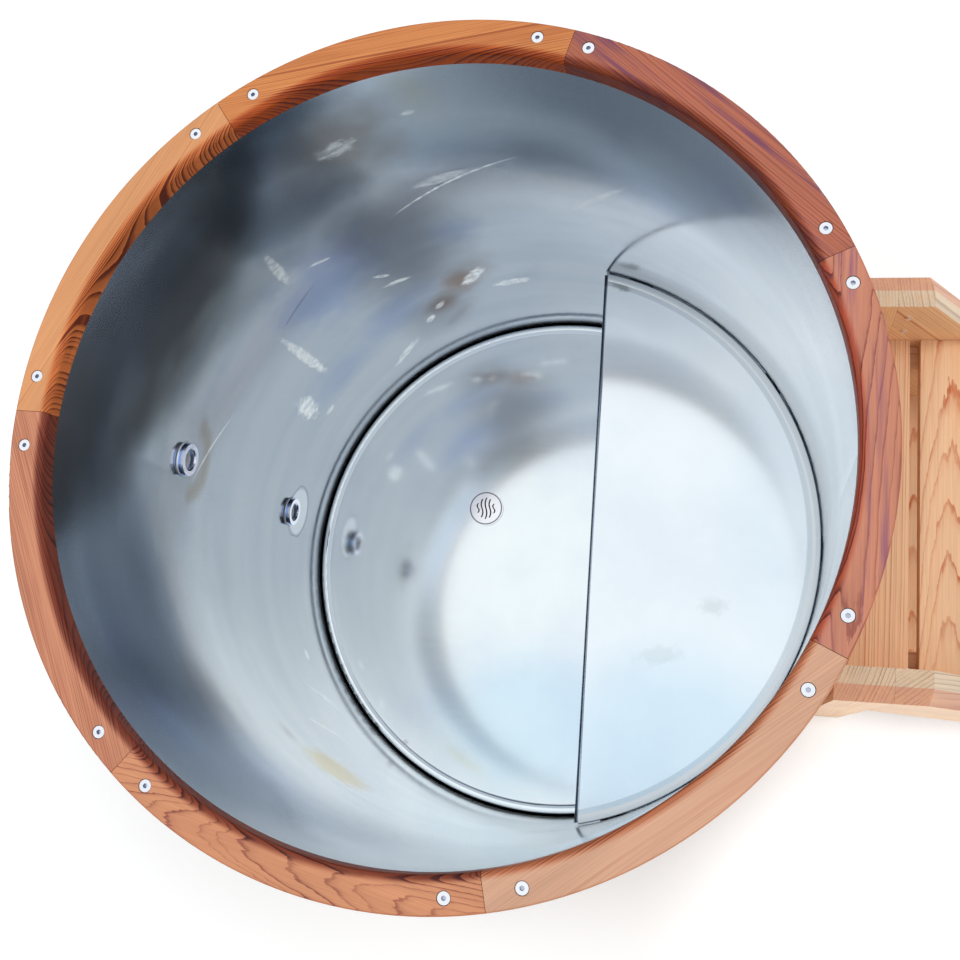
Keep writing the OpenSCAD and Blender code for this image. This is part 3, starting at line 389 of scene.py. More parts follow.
# Barrel: every stave has its own place in its plank, and its own tone
stavesGroup, vIn, vOut = newGroup("stavePlace", {"Vector": (0, 0, 0)}, {"Grain": 3, "Random": 1})
barrel = {
    # a stave's degrees, where one begins and its width, then the heart's radius and how much its place varies
    "stave": 10.0, "edge": 169.8, "width": 0.086, "heart": 0.416, "sideSpread": 0.12, "depthSpread": 0.05,
    "lengthShift": 3.3, "firstNumber": 80,
    "early": rgb(206, 148, 100), "late": rgb(146, 84, 50), "streak": rgb(150, 86, 60),
    "palest": (1.0, 0.98, 0.95, 1), "darkest": (0.86, 0.74, 0.66, 1),
}
tree = stavesGroup
at = split(tree, vIn["Vector"])
angle = calc(tree, "ARCTAN2", at["Y"], at["X"])
turns = minus(tree, times(tree, angle, 180 / math.pi), barrel["edge"])
turns = calc(tree, "DIVIDE", turns, barrel["stave"])
number = calc(tree, "ROUND", plus(tree, calc(tree, "FLOOR", turns), barrel["firstNumber"]))
chance = random(tree, number)
sideways = swing(tree, calc(tree, "FRACT", turns), barrel["width"])
sideways = plus(tree, sideways, swing(tree, chance, barrel["sideSpread"]))
out = minus(tree, length(tree, flat(tree, vIn["Vector"])), barrel["heart"])
out = plus(tree, out, times(tree, random(tree, plus(tree, number, 0.37)), barrel["depthSpread"]))
along = plus(tree, at["Z"], times(tree, number, barrel["lengthShift"]))
feed(tree, vOut["Grain"], join(tree, along, sideways, out))
feed(tree, vOut["Random"], chance)

material, tree, shader = newMaterial("barrelStaves", Coat_Weight=0.05)
stave = addGroup(tree, stavesGroup, {"Vector": place(tree)})
grain = addGroup(tree, woodGroup, {
    "Vector": stave["Grain"], "Early": barrel["early"], "Late": barrel["late"], "Streak": barrel["streak"],
    "Ring Width": 0.0045, "Contrast": 0.75, "Streaks": 0.4, "Taper": 0.02, "Wander": 0.02})
tone = blend(tree, stave["Random"], barrel["palest"], barrel["darkest"])
finishWood(tree, shader, grain, blend(tree, 1.0, grain["Color"], tone, "MULTIPLY"), 0.4, 0.0007)
dress(material, "staves", "port_stave", "drain_stave")

underneath = {    # early wood, late wood, streaks and turn
    "deck_boards": (rgb(196, 146, 98), rgb(150, 96, 56), rgb(168, 112, 74), (0, 0, quarter)),
    "joists": (rgb(176, 136, 92), rgb(132, 88, 52), rgb(150, 104, 70), (0, 0, 0)),
}
for name, (early, late, streak, turn) in underneath.items():
    material, tree, shader = newMaterial("barrel_" + name)
    finishWood(tree, shader, addGroup(tree, woodGroup, {
        "Vector": grainPlace(tree, turn, (0.1, -0.1)), "Early": early, "Late": late, "Streak": streak,
        "Ring Width": 0.0045, "Contrast": 0.6}))
    dress(material, name)
print("barrel finished")

# Steel: brushed lines for the bump, and cloudy changes of colour and roughness
sheet = {"cloudScale": 3.0, "cloudRange": (0.35, 0.7), "roughChange": 0.10, "bump": 0.1, "depth": 0.00002}
steelGroup, sIn, sOut = newGroup(
    "sheetSteel",
    {"Vector": (0, 0, 0), "Bright": (0.70, 0.74, 0.78, 1), "Dull": (0.5, 0.55, 0.6, 1), "Brush": (2, 2, 260),
     "Rough": 0.16},
    {"Color": 4, "Height": 1, "Roughness": 1})
tree = steelGroup
lines = noise(tree, sIn["Vector"], sIn["Brush"], 1.0, 4.0, 0.6)
clouds = noise(tree, sIn["Vector"], (1, 1, 1), sheet["cloudScale"], 5.0, 0.55)
feed(tree, sOut["Color"], blend(tree, smooth(tree, clouds, *sheet["cloudRange"]), sIn["Bright"], sIn["Dull"]))
feed(tree, sOut["Height"], lines)
change = plus(tree, times(tree, lines, 0.5), times(tree, clouds, 0.5))
feed(tree, sOut["Roughness"], plus(tree, sIn["Rough"], swing(tree, change, sheet["roughChange"])))


def steel(name, look):
    material, tree, shader = newMaterial(name, Metallic=1.0)
    outputs = addGroup(tree, steelGroup, {
        "Vector": place(tree), "Bright": look["bright"], "Dull": look["dull"], "Brush": look["brush"],
        "Rough": look["rough"]})
    feed(tree, shader.inputs["Base Color"], outputs["Color"])
    feed(tree, shader.inputs["Roughness"], outputs["Roughness"])
    bump(tree, shader, outputs["Height"], sheet["bump"], sheet["depth"])
    return material, tree, shader, outputs


# A soft spot with a ragged edge, on a flat map in metres
spotGroup, pIn, pOut = newGroup(
    "softSpot",
    {"Vector": (0, 0, 0), "Spot": (0, 0, 0), "Size": (0.1, 0.1, 1), "Turn": 0.0, "Ragged": 0.3, "Core": 0.3,
     "Grain": 30.0},
    {"Mask": 1})
tree = spotGroup
away = vector(tree, "SUBTRACT", pIn["Vector"], pIn["Spot"])
inputs = {"Vector": away, "Angle": times(tree, pIn["Turn"], -1.0)}
away = put(tree, "ShaderNodeVectorRotate", inputs, rotation_type="Z_AXIS").outputs[0]
away = vector(tree, "DIVIDE", away, pIn["Size"])
torn = noise(tree, pIn["Vector"], (1, 1, 1), pIn["Grain"], 4.0, 0.6)
reach = plus(tree, length(tree, away), swing(tree, torn, times(tree, pIn["Ragged"], 4.0)))
feed(tree, pOut["Mask"], smooth(tree, reach, 1.0, pIn["Core"]))


def wallAlong(angle):    # metres round the wall from its -X side
    return math.radians(angle - 180) * wall["radius"]


def addSpots(tree, spot, places, grain=30.0, core=0.3):    # one mask from several spots
    total = None
    for x, y, width, height, turn, ragged, strength in places:
        mask = addGroup(tree, spotGroup, {
            "Vector": spot, "Spot": (x, y, 0), "Size": (width, height, 1), "Turn": math.radians(turn),
            "Ragged": ragged, "Core": core, "Grain": grain})["Mask"]
        mask = times(tree, mask, strength)
        total = mask if total is None else larger(tree, total, mask)
    return total


# Liner wall, mapped round and up: grey and blue clouds of painted shade and painted reflection, warmer tinted
# spots, dried splashes, and heat tint round the ports.
# Every spot is: angle, height, half width, half height, turn, ragged, strength
wall = {
    "radius": 0.460, "bright": rgb(247, 249, 251), "band": rgb(232, 238, 244), "haze": 0.14,
    "residue": rgb(252, 252, 250), "bandChange": 0.7, "bandRange": (0.36, 0.64),
    # the map's stretch for the bands, the patchy strokes, the wet parts and the brushed lines
    "bandStretch": (1.1, 11, 1), "patchStretch": (50, 80, 1), "wetStretch": (3, 5, 1), "brush": (4, 420, 1),
    # how the heat tint's ring is uneven (scale and metres), and how softly its top and the disc end
    "uneven": (30, 0.010), "topFade": 0.02, "discFade": 0.006,
    "strokeGrain": 70.0, "strokeCore": 0.45, "scratchGrain": 40.0,
    "patchRange": (0.40, 0.60), "patchLeast": 0.40, "patchMore": 0.55,
    # roughness: everywhere, more where wet, under the strokes and at the foot
    "rough": 0.10, "wetRange": (0.35, 0.7), "wetRough": 0.08, "strokeRough": 0.15, "foot": (0.150, 0.118),
    "footRough": 0.14,
    # the grey layers are painted shade and painted reflection of the dark under the seat and near the rim; the
    # blue ones a painted bluish reflection; the warm ones tint some spots browner, pinker and yellower
    "layers": [
        {"tint": rgb(152, 161, 172), "grain": 3.0, "core": 0.45, "spots": [
            (139, 0.40, 0.96, 0.66, 0, 0.06, 0.76), (75, 0.95, 0.48, 0.27, 0, 0.06, 0.86),
            (215, 0.95, 0.42, 0.27, 0, 0.06, 0.72), (126, 0.84, 0.17, 0.30, 0, 0.10, 0.80)]},
        {"tint": rgb(152, 160, 170), "grain": 3.0, "core": 0.2, "spots": [
            (62, 1.03, 0.32, 0.19, 0, 0.05, 0.62), (219, 1.07, 0.56, 0.23, 0, 0.05, 0.60),
            (142, 0.78, 0.17, 0.11, 0, 0.08, 0.50), (22, 0.66, 0.52, 0.36, 0, 0.05, 0.34),
            (203, 0.91, 0.28, 0.19, 0, 0.05, 0.88), (250, 0.84, 0.22, 0.14, 0, 0.05, 0.2),
            (128, 0.85, 0.15, 0.11, 0, 0.08, 0.75), (138, 1.07, 0.20, 0.07, 0, 0.08, 0.55),
            (122, 1.04, 0.12, 0.12, 0, 0.08, 0.95), (121, 0.74, 0.08, 0.12, 0, 0.08, 0.55),
            (152, 0.80, 0.26, 0.06, 0, 0.08, 0.50), (143, 0.97, 0.15, 0.09, 0, 0.08, 0.35)]},
        {"tint": rgb(120, 124, 136), "grain": 5.0, "core": 0.1, "spots": [
            (122, 0.92, 0.185, 0.29, 0, 0.12, 0.70), (115, 0.60, 0.145, 0.34, 4, 0.14, 0.84),
            (118, 1.07, 0.13, 0.12, 0, 0.10, 0.95), (117, 0.33, 0.11, 0.14, 0, 0.14, 0.55)]},
        {"tint": rgb(206, 222, 250), "grain": 3.0, "core": 0.2, "spots": [
            (158, 0.98, 0.34, 0.18, 0, 0.05, 0.65), (230, 0.93, 0.34, 0.22, 0, 0.05, 0.55)]},
        {"tint": rgb(208, 192, 180), "grain": 14.0, "core": 0.1, "spots": [
            (115, 0.95, 0.12, 0.17, 0, 0.25, 0.8), (106, 0.43, 0.06, 0.10, 30, 0.22, 0.7),
            (114, 0.36, 0.04, 0.06, 40, 0.22, 0.7), (227.5, 0.582, 0.030, 0.022, 0, 0.2, 0.4)]},
        {"tint": rgb(210, 168, 146), "grain": 22.0, "core": 0.1, "spots": [
            (109, 0.40, 0.050, 0.060, 0, 0.25, 0.8), (115, 0.34, 0.040, 0.050, 0, 0.25, 0.8)]},
        {"tint": rgb(194, 208, 244), "grain": 12.0, "core": 0.1, "spots": [
            (131, 0.63, 0.14, 0.18, 10, 0.28, 0.8), (105, 0.60, 0.07, 0.07, 0, 0.25, 0.5),
            (124, 0.40, 0.12, 0.09, -20, 0.25, 0.6), (142, 0.36, 0.12, 0.08, 10, 0.25, 0.4)]},
        {"tint": rgb(250, 226, 176), "grain": 20.0, "core": 0.4, "spots": [
            (238, 0.54, 0.080, 0.064, -60, 0.18, 0.9)]},
    ],
    "strokes": [
        (105.9, 0.409, 0.042, 0.017, 126, 0.22, 1.0), (98.7, 0.350, 0.040, 0.016, 176, 0.30, 1.0),
        (115.6, 0.341, 0.018, 0.009, 130, 0.2, 0.8), (119.1, 0.306, 0.016, 0.010, 120, 0.25, 0.8),
        (99.8, 0.762, 0.138, 0.0036, 153, 0.06, 1.0), (101.7, 0.774, 0.052, 0.0160, 168, 0.15, 0.6),
        (136, 0.760, 0.056, 0.0105, -88, 0.26, 0.9), (129.2, 0.698, 0.022, 0.005, -153, 0.15, 0.7),
        (121.8, 0.547, 0.022, 0.006, -134, 0.2, 0.7), (120.3, 0.503, 0.030, 0.008, -163, 0.2, 0.7),
        (217.6, 0.283, 0.070, 0.0036, -69, 0.14, 0.8), (219.2, 0.270, 0.050, 0.0036, -60, 0.14, 0.7),
        (226.2, 0.392, 0.058, 0.0060, -65, 0.22, 1.0), (236.2, 0.465, 0.036, 0.011, -52, 0.26, 1.0),
        (244.4, 0.572, 0.040, 0.010, -22, 0.26, 1.0), (254.8, 0.536, 0.090, 0.0055, -15, 0.18, 0.8),
        (144.6, 0.505, 0.115, 0.011, -92, 0.24, 1.0), (152.7, 0.385, 0.052, 0.022, -90, 0.34, 1.0),
        (150, 0.303, 0.014, 0.010, 0, 0.3, 0.7), (74.4, 0.710, 0.088, 0.007, 127, 0.22, 0.9),
        (128.2, 0.235, 0.046, 0.013, 145, 0.30, 0.7),
        (207, 0.268, 0.014, 0.012, 0, 0.3, 0.7), (114.8, 0.934, 0.034, 0.022, 0, 0.34, 0.4),
        (101.2, 0.963, 0.012, 0.008, 0, 0.3, 0.6), (170.7, 0.654, 0.082, 0.0030, 30, 0.05, 0.9)],
    "scratches": [
        (137.9, 0.641, 0.058, 0.0035, -21, 0.1, 0.6), (101.3, 0.757, 0.026, 0.0032, 178, 0.08, 0.8),
        (98.8, 0.790, 0.030, 0.0028, 176, 0.06, 0.4)],
    # heat tint: angle and height of its middle, radius and half width of its ring, top, colour, strength
    "ports": [
        (174.2, 0.712, 0.054, 0.024, 0.715, rgb(226, 208, 184), 0.75),
        (174.0, 0.258, 0.046, 0.0035, 2.0, rgb(206, 200, 206), 0.8)],
    "disc": (174.0, 0.258, 0.044, rgb(250, 252, 255), 0.4),    # a paler disc inside the lower tint
    # dark under the floor's edge and, as far round as the seat reaches, below the seat's top
    "shade": {
        "foot": (0.1115, 0.1105), "seat": (0.4050, 0.4030), "reach": 76.4, "level": (0.02, 0.02, 0.022, 1)},
}
material, tree, shader = newMaterial("linerWallSteel")
at = split(tree, place(tree))
angle = calc(tree, "ARCTAN2", times(tree, at["Y"], -1.0), times(tree, at["X"], -1.0))
spot = join(tree, times(tree, angle, wall["radius"]), at["Z"])


def onWall(places):
    return [(wallAlong(turn), *rest) for turn, *rest in places]


bands = noise(tree, spot, wall["bandStretch"], 1, 4, 0.6)
bands = times(tree, smooth(tree, bands, *wall["bandRange"]), wall["bandChange"])
colour = blend(tree, bands, wall["bright"], wall["band"])
# the layers' painted shade, painted reflections and warm tints
for layer in wall["layers"]:
    mask = addSpots(tree, spot, onWall(layer["spots"]), layer["grain"], layer["core"])
    colour = tinted(tree, mask, colour, layer["tint"])
scale, change = wall["uneven"]
uneven = swing(tree, noise(tree, spot, (1, 1, 1), scale, 2), change)
for turn, height, size, half, top, tint, strength in wall["ports"]:
    ring = length(tree, vector(tree, "SUBTRACT", spot, (wallAlong(turn), height, 0)))
    heat = ridge(tree, plus(tree, ring, uneven), size, half)
    heat = times(tree, heat, smooth(tree, at["Z"], top, top - wall["topFade"], 0.0, strength))
    colour = tinted(tree, heat, colour, tint)
turn, height, size, pale, strength = wall["disc"]
ring = length(tree, vector(tree, "SUBTRACT", spot, (wallAlong(turn), height, 0)))
colour = blend(tree, smooth(tree, ring, size, size - wall["discFade"], 0.0, strength), colour, pale)
strokes = addSpots(tree, spot, onWall(wall["strokes"]), wall["strokeGrain"], wall["strokeCore"])
scratches = addSpots(tree, spot, onWall(wall["scratches"]), wall["scratchGrain"])
colour = tinted(tree, scratches, colour, wall["layers"][0]["tint"])
patchy = smooth(tree, noise(tree, spot, wall["patchStretch"], 1, 4, 0.7), *wall["patchRange"])
strokes = times(tree, strokes, plus(tree, times(tree, patchy, wall["patchMore"]), wall["patchLeast"]))
colour = blend(tree, strokes, colour, wall["residue"])
shade = wall["shade"]
under = smooth(tree, at["Z"], *shade["seat"])
turned = calc(tree, "ABSOLUTE", minus(tree, calc(tree, "ABSOLUTE", angle), math.pi))
under = times(tree, under, calc(tree, "LESS_THAN", turned, math.radians(shade["reach"])))
under = larger(tree, under, smooth(tree, at["Z"], *shade["foot"]))
colour = blend(tree, under, colour, shade["level"])
wet = smooth(tree, noise(tree, spot, wall["wetStretch"], 1, 5, 0.6), *wall["wetRange"])
rough = plus(tree, wall["rough"], times(tree, wet, wall["wetRough"]))
rough = plus(tree, rough, times(tree, strokes, wall["strokeRough"]))
rough = plus(tree, rough, smooth(tree, at["Z"], *wall["foot"], 0.0, wall["footRough"]))
feed(tree, shader.inputs["Base Color"], colour)
feed(tree, shader.inputs["Roughness"], rough)
shader.inputs["Metallic"].default_value = 1.0 - wall["haze"]
bump(tree, shader, noise(tree, spot, wall["brush"], 1, 4, 0.6), sheet["bump"], sheet["depth"])
dress(material, "liner_wall")
print("liner wall finished")

# Pan and seat: brighter sheet with light rubbing marks, a few drops and smudges.
# Every mark is: x, y, half width, half height, turn, ragged, strength
pan = {
    "bright": rgb(243, 252, 254), "dull": rgb(228, 239, 248), "brush": (3, 300, 3), "rough": 0.11,
    # by radius: painted shade, greyer where the sheet swells to its edge and dark where it rolls down
    "swell": (0.4375, 0.4450, 0.003, 0.001), "roll": (0.4540, 0.4552), "grey": rgb(196, 200, 208),
    "dark": rgb(34, 36, 42),
    "cool": rgb(226, 242, 252), "coolGrain": 4.0, "coolSpots": [(-0.02, -0.30, 0.26, 0.18, 0, 0.1, 0.9)],
    "residue": rgb(226, 222, 226), "markGrain": 50.0, "markShare": 0.6, "markDull": 0.4,
    "marks": [(-0.302, 0.359, 0.030, 0.010, 20, 0.35, 0.6), (-0.171, 0.354, 0.035, 0.010, 0, 0.35, 0.6),
              (-0.078, 0.351, 0.030, 0.008, -8, 0.35, 0.6), (-0.260, -0.351, 0.008, 0.006, 0, 0.3, 0.9),
              (-0.292, -0.386, 0.006, 0.005, 0, 0.3, 0.9)],
}
material, tree, shader, outputs = steel("linerFloorSteel", pan)
spot = flat(tree, place(tree))
marks = addSpots(tree, spot, pan["marks"], pan["markGrain"])
colour = blend(tree, times(tree, marks, pan["markShare"]), outputs["Color"], pan["residue"])
colour = tinted(tree, addSpots(tree, spot, pan["coolSpots"], pan["coolGrain"]), colour, pan["cool"])
out = length(tree, spot)
# painted shade: the swell is greyed to dim its reflected highlight, and the roll is darkened
colour = tinted(tree, between(tree, out, *pan["swell"]), colour, pan["grey"])
colour = blend(tree, smooth(tree, out, *pan["roll"]), colour, pan["dark"])
feed(tree, shader.inputs["Base Color"], colour)
feed(tree, shader.inputs["Metallic"], minus(tree, 1.0, times(tree, marks, pan["markDull"])))
dress(material, "liner_floor")

seat = {
    "bright": rgb(242, 250, 255), "dull": rgb(230, 240, 248), "brush": (3, 300, 3), "rough": 0.12,
    "border": (0.4360, 0.4385), "borderTint": rgb(228, 229, 230),    # the greyer edge, by radius
    "rubbed": rgb(192, 196, 190), "smudgeGrain": 50.0,
    "smudges": [(0.129, 0.424, 0.026, 0.010, -20, 0.4, 1.0), (0.30, -0.10, 0.030, 0.020, 0, 0.4, 0.25),
                (0.22, -0.18, 0.05, 0.02, 10, 0.4, 0.2)],
    "cool": rgb(226, 242, 252), "coolGrain": 4.0,
    "coolSpots": [(0.26, -0.33, 0.30, 0.23, 0, 0.1, 0.9), (0.42, 0.02, 0.17, 0.36, 0, 0.1, 0.3)],
}
material, tree, shader, outputs = steel("seatSteel", seat)
spot = flat(tree, place(tree))
smudges = addSpots(tree, spot, seat["smudges"], seat["smudgeGrain"])
colour = tinted(tree, smudges, outputs["Color"], seat["rubbed"])
colour = tinted(tree, smooth(tree, length(tree, spot), *seat["border"]), colour, seat["borderTint"])
colour = tinted(tree, addSpots(tree, spot, seat["coolSpots"], seat["coolGrain"]), colour, seat["cool"])
feed(tree, shader.inputs["Base Color"], colour)
dress(material, "seat_bench")
print("pan and seat finished")

# Hem along the seat's curved edge: a narrow strip that hugs the round and stands a little proud of it
hem = {
    # where its ends stand, how far it is turned either way (one ring past them), below which height it carries
    # painted shade
    "front": 0.107, "reach": 77.0, "steps": 154, "crease": 35.0, "under": (0.4030, 0.4022),
    "bright": rgb(206, 214, 220), "dull": rgb(198, 206, 212), "dark": rgb(30, 32, 38),
    "brush": (30, 30, 30), "rough": 0.14,
    "profile": [    # radius and height, once round
        (0.4452, 0.40912), (0.4470, 0.40950), (0.4510, 0.40965), (0.4548, 0.40960), (0.4568, 0.40935),
        (0.4578, 0.40880), (0.4584, 0.40780), (0.4587, 0.40600), (0.4586, 0.40300), (0.4580, 0.40180),
        (0.4568, 0.40150), (0.45615, 0.40200), (0.45615, 0.40410), (0.45560, 0.40620), (0.45420, 0.40800),
        (0.45240, 0.40890), (0.4505, 0.40905)],
}


def buildHem():
    mesh = bpy.data.meshes.new("seatHem")
    work = bmesh.new()
    turn = Matrix.Rotation(math.radians(-hem["reach"]), 3, "Z")
    points = [work.verts.new(turn @ Vector((out, 0, high))) for out, high in hem["profile"]]
    edges = [work.edges.new((points[i - 1], points[i])) for i in range(len(points))]
    bmesh.ops.spin(work, geom=points + edges, cent=(0, 0, 0), axis=(0, 0, 1),
                   angle=math.radians(2 * hem["reach"]), steps=hem["steps"], use_duplicate=False)
    # the last ring at either end slides back along its edges to the front line
    for vert in work.verts:
        if vert.co.x < hem["front"]:
            inner = max((edge.other_vert(vert) for edge in vert.link_edges), key=lambda other: other.co.x)
            vert.co = vert.co.lerp(inner.co, (hem["front"] - vert.co.x) / (inner.co.x - vert.co.x))
    bmesh.ops.holes_fill(work, edges=[edge for edge in work.edges if edge.is_boundary])
    bmesh.ops.recalc_face_normals(work, faces=work.faces[:])
    # the operators leave the faces in another order on every run
    work.verts.index_update()
    spots = {face: [vert.index for vert in face.verts] for face in work.faces}
    work.faces.sort(key=lambda face: min(spots[face]) * len(work.verts) + max(spots[face]))
    work.to_mesh(mesh)
    work.free()
    for face in mesh.polygons:
        face.use_smooth = True
    mesh.set_sharp_from_angle(angle=math.radians(hem["crease"]))
    piece = bpy.data.objects.new("seat_hem", mesh)
    bpy.context.scene.collection.objects.link(piece)
    material, tree, shader, outputs = steel("hemSteel", hem)
    # painted shade on the hem's low outer side, in the gap by the wall
    low = smooth(tree, split(tree, place(tree))["Z"], *hem["under"])
    feed(tree, shader.inputs["Base Color"], blend(tree, low, outputs["Color"], hem["dark"]))
    mesh.materials.append(material)
    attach(piece, "seat")


buildHem()
print("hem finished")

# Drain: bright, with a dark line of painted shade where the strainer sits in its flange
drain = {
    "bright": rgb(250, 252, 255), "dull": rgb(212, 222, 244), "brush": (40, 40, 40), "rough": 0.12,
    "place": (-0.139, 0.092, 0), "line": 0.0300, "half": 0.0019, "dark": rgb(56, 64, 84),
}
material, tree, shader, outputs = steel("fittingSteel", drain)
spot = flat(tree, vector(tree, "SUBTRACT", place(tree), drain["place"]))
# painted shade in the joint between strainer and flange
line = ridge(tree, length(tree, spot), drain["line"], drain["half"])
feed(tree, shader.inputs["Base Color"], blend(tree, line, outputs["Color"], drain["dark"]))
dress(material, "drain_flange", "drain_strainer")

# The sockets are polished, blue where they reflect in their groove, and dull at the weld
socket = {
    "bright": rgb(240, 240, 252), "dull": rgb(214, 220, 242), "brush": (40, 40, 40), "rough": 0.12,
    "blue": rgb(176, 204, 246), "pale": rgb(244, 246, 250),
    "groove": (0.4535, 0.4575, 0.0006, 0.0006), "weld": (0.4575, 0.4583), "weldDull": 0.5, "weldRough": 0.3,
}
material, tree, shader, outputs = steel("socketSteel", socket)
out = length(tree, flat(tree, place(tree)))
weld = smooth(tree, out, *socket["weld"])
colour = blend(tree, between(tree, out, *socket["groove"]), outputs["Color"], socket["blue"])
feed(tree, shader.inputs["Base Color"], blend(tree, weld, colour, socket["pale"]))
feed(tree, shader.inputs["Metallic"], minus(tree, 1.0, times(tree, weld, socket["weldDull"])))
rough = plus(tree, outputs["Roughness"], times(tree, weld, socket["weldRough"]))
feed(tree, shader.inputs["Roughness"], rough)
dress(material, "port_sockets")

# Rim bolts: bright heads, with painted shade as dark walls in the hex sockets and round the heads and a duller
# socket floor
bolt = {
    "bright": rgb(238, 242, 250), "dull": rgb(246, 248, 252), "brush": (60, 60, 60), "rough": 0.22,
    "recessShade": rgb(70, 80, 106), "grey": rgb(186, 196, 216), "top": (1.0864, 1.0866), "floor": (1.0842, 1.0845),
}
material, tree, shader, outputs = steel("rimBoltSteel", bolt)
high = split(tree, place(tree))["Z"]
# painted shade in the hex sockets and round the heads, greyer on the socket floor
colour = blend(tree, smooth(tree, high, *bolt["floor"]), bolt["grey"], bolt["recessShade"])
colour = blend(tree, smooth(tree, high, *bolt["top"]), colour, outputs["Color"])
feed(tree, shader.inputs["Base Color"], colour)
dress(material, "rim_bolts")

# Other metal: bright and dull colour, brush, roughness, then the pieces
metals = {
    "plateSteel": (rgb(216, 222, 228), rgb(190, 198, 208), (40, 40, 40), 0.24,
                   ("seat_brackets", "seat_channels", "port_locknuts", "drain_locknut")),
    "hoopSteel": (rgb(200, 204, 206), rgb(160, 166, 170), (4, 4, 300), 0.32,
                  ("hoop_lower", "hoop_middle", "hoop_upper")),
    "boltSteel": (rgb(244, 246, 250), rgb(226, 230, 238), (60, 60, 60), 0.26,
                  ("hoop_bolts", "hoop_nuts", "step_screws", "upper_nut", "lower_nut", "drain_nut")),
    "valveNickel": (rgb(214, 206, 186), rgb(180, 172, 150), (40, 40, 40), 0.28,
                    ("valve_bodies", "valve_caps", "hose_tails")),
    "ballChrome": (rgb(230, 232, 236), rgb(214, 218, 222), (10, 10, 10), 0.08,
                   ("upper_ball", "lower_ball", "drain_ball")),
    "leverSteel": (rgb(206, 210, 214), rgb(180, 184, 190), (200, 3, 3), 0.3,
                   ("upper_lever", "lower_lever", "drain_lever")),
}
for name, (bright, dull, brush, rough, pieces) in metals.items():
    dress(steel(name, {"bright": bright, "dull": dull, "brush": brush, "rough": rough})[0], *pieces)
print("steel finished")


# Seals, foam, pipe and grips: two colours, roughness, scale and depth of the mottle, then the pieces
plainLooks = {
    "wallFoam": (rgb(214, 200, 150), rgb(196, 180, 128), 0.9, 220, 0.0008, ("wall_foam", "floor_foam")),
    "blackRubber": (rgb(38, 38, 40), rgb(50, 50, 52), 0.6, 120, 0.0002,
                    ("port_gaskets", "drain_gasket", "seat_pads")),
    "greyPipe": (rgb(92, 96, 100), rgb(82, 86, 90), 0.42, 60, 0.0001, ("drain_elbow", "drain_pipe")),
    "valveSeatRing": (rgb(236, 236, 230), rgb(226, 226, 220), 0.35, 60, 0.0001, ("valve_seats",)),
    "blueGrip": (rgb(46, 92, 158), rgb(40, 82, 146), 0.48, 160, 0.0002,
                 ("upper_grip", "lower_grip", "drain_grip")),
}
for name, (base, other, rough, scale, depth, pieces) in plainLooks.items():
    material, tree, shader = newMaterial(name, Roughness=rough)
    mottle = noise(tree, place(tree), (1, 1, 1), scale, 4, 0.6)
    feed(tree, shader.inputs["Base Color"], blend(tree, smooth(tree, mottle, 0.35, 0.65), base, other))
    bump(tree, shader, mottle, 0.3, depth)
    dress(material, *pieces)
print("seals, pipe and grips finished")


# Floor, light and camera
studio = {
    "half": 30.0, "drop": 0.0005, "floor": (0.80, 0.82, 0.825, 1),
    # the floor glows clear of the tub (by radius) and of the step (by Y, or by X from its middle)
    "tub": (0.45, 0.75), "stepWide": (0.20, 0.55), "stepMiddle": 0.85, "stepFar": (0.20, 0.75),
    "clearGlow": 0.27,
    # and glows more along the -Y side of the step, fading far out
    "besideX": (0.15, 0.6), "besideY": (-0.18, -0.28), "besideEnd": (1.8, 1.0), "besideGlow": 0.55,
    "sky": (0.98, 0.99, 1.0, 1), "skyLight": 0.82, "skySeen": 1.0,
    "sun": 0.8, "sunSize": 18, "sunWay": (-0.52, -0.19, -1.09),
}


def seenRays(tree):    # 1 for what the camera sees, straight, mirrored or through glass
    path = put(tree, "ShaderNodeLightPath").outputs
    seen = larger(tree, path["Is Camera Ray"], path["Is Glossy Ray"])
    return larger(tree, seen, path["Is Transmission Ray"])


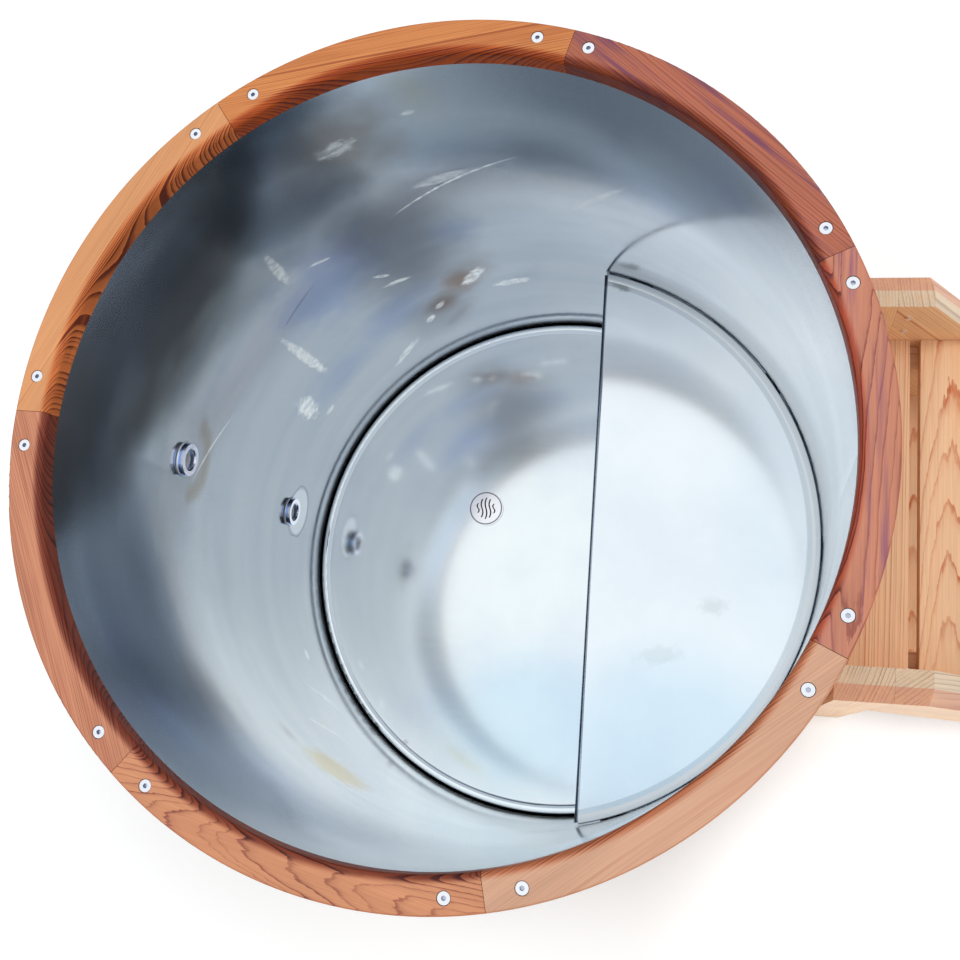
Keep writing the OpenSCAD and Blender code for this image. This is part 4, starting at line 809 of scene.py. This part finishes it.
def buildStage():
    mesh = bpy.data.meshes.new("studioFloor")
    work = bmesh.new()
    bmesh.ops.create_grid(work, x_segments=1, y_segments=1, size=studio["half"])
    work.to_mesh(mesh)
    work.free()
    floor = bpy.data.objects.new("studioFloor", mesh)
    bpy.context.scene.collection.objects.link(floor)
    floor.location.z = -studio["drop"]
    material, tree, shader = newMaterial("paleFloor", Roughness=0.9, Specular_IOR_Level=0.0)
    shader.inputs["Base Color"].default_value = studio["floor"]
    mesh.materials.append(material)
    # The floor glows a little where it is clear of the object, so it photographs white
    spot = place(tree)
    at = split(tree, spot)
    tub = smooth(tree, length(tree, flat(tree, spot)), *studio["tub"])
    stepWide = smooth(tree, calc(tree, "ABSOLUTE", at["Y"]), *studio["stepWide"])
    stepFar = calc(tree, "ABSOLUTE", minus(tree, at["X"], studio["stepMiddle"]))
    stepFar = smooth(tree, stepFar, *studio["stepFar"])
    clear = times(tree, tub, larger(tree, stepWide, stepFar))
    beside = times(tree, smooth(tree, at["X"], *studio["besideX"]), smooth(tree, at["Y"], *studio["besideY"]))
    beside = times(tree, beside, smooth(tree, at["X"], *studio["besideEnd"]))
    glow = plus(tree, times(tree, clear, studio["clearGlow"]), times(tree, beside, studio["besideGlow"]))
    shader.inputs["Emission Color"].default_value = (1, 1, 1, 1)
    feed(tree, shader.inputs["Emission Strength"], times(tree, seenRays(tree), glow))

    world = bpy.data.worlds.new("softSky")
    bpy.context.scene.world = world
    world.use_nodes = True
    tree = world.node_tree
    inputs = {"Value": seenRays(tree), "To Min": studio["skyLight"], "To Max": studio["skySeen"]}
    level = put(tree, "ShaderNodeMapRange", inputs).outputs[0]
    feed(tree, tree.nodes["Background"].inputs["Color"], studio["sky"])
    feed(tree, tree.nodes["Background"].inputs["Strength"], level)

    sun = bpy.data.lights.new("softKey", "SUN")
    sun.energy = studio["sun"]
    sun.angle = math.radians(studio["sunSize"])
    lamp = bpy.data.objects.new("softKey", sun)
    lamp.rotation_euler = Vector(studio["sunWay"]).to_track_quat("-Z", "Y").to_euler()
    lamp.visible_glossy = False
    bpy.context.scene.collection.objects.link(lamp)


def buildCamera():
    view = {
        "place": (0.35837, -0.29794, 2.34332), "sensor": 36, "lens": 45.95, "turn": 4.5,
        "axes": ((0.97774, 0.04717, 0.20447), (-0.00387, 0.97829, -0.20719), (-0.2098, 0.20179, 0.9567)),
    }
    data = bpy.data.cameras.new("photoCamera")
    data.sensor_width = view["sensor"]
    data.lens = view["lens"]
    camera = bpy.data.objects.new("photoCamera", data)
    turned = Matrix.Rotation(math.radians(view["turn"]), 3, "Z") @ Matrix(view["axes"])
    camera.matrix_world = Matrix.Translation(Vector(view["place"])) @ turned.to_4x4()
    bpy.context.scene.collection.objects.link(camera)
    bpy.context.scene.camera = camera


buildStage()
buildCamera()
bpy.context.scene.view_settings.view_transform = "Standard"
print("floor, light and camera finished")

print("scene finished")
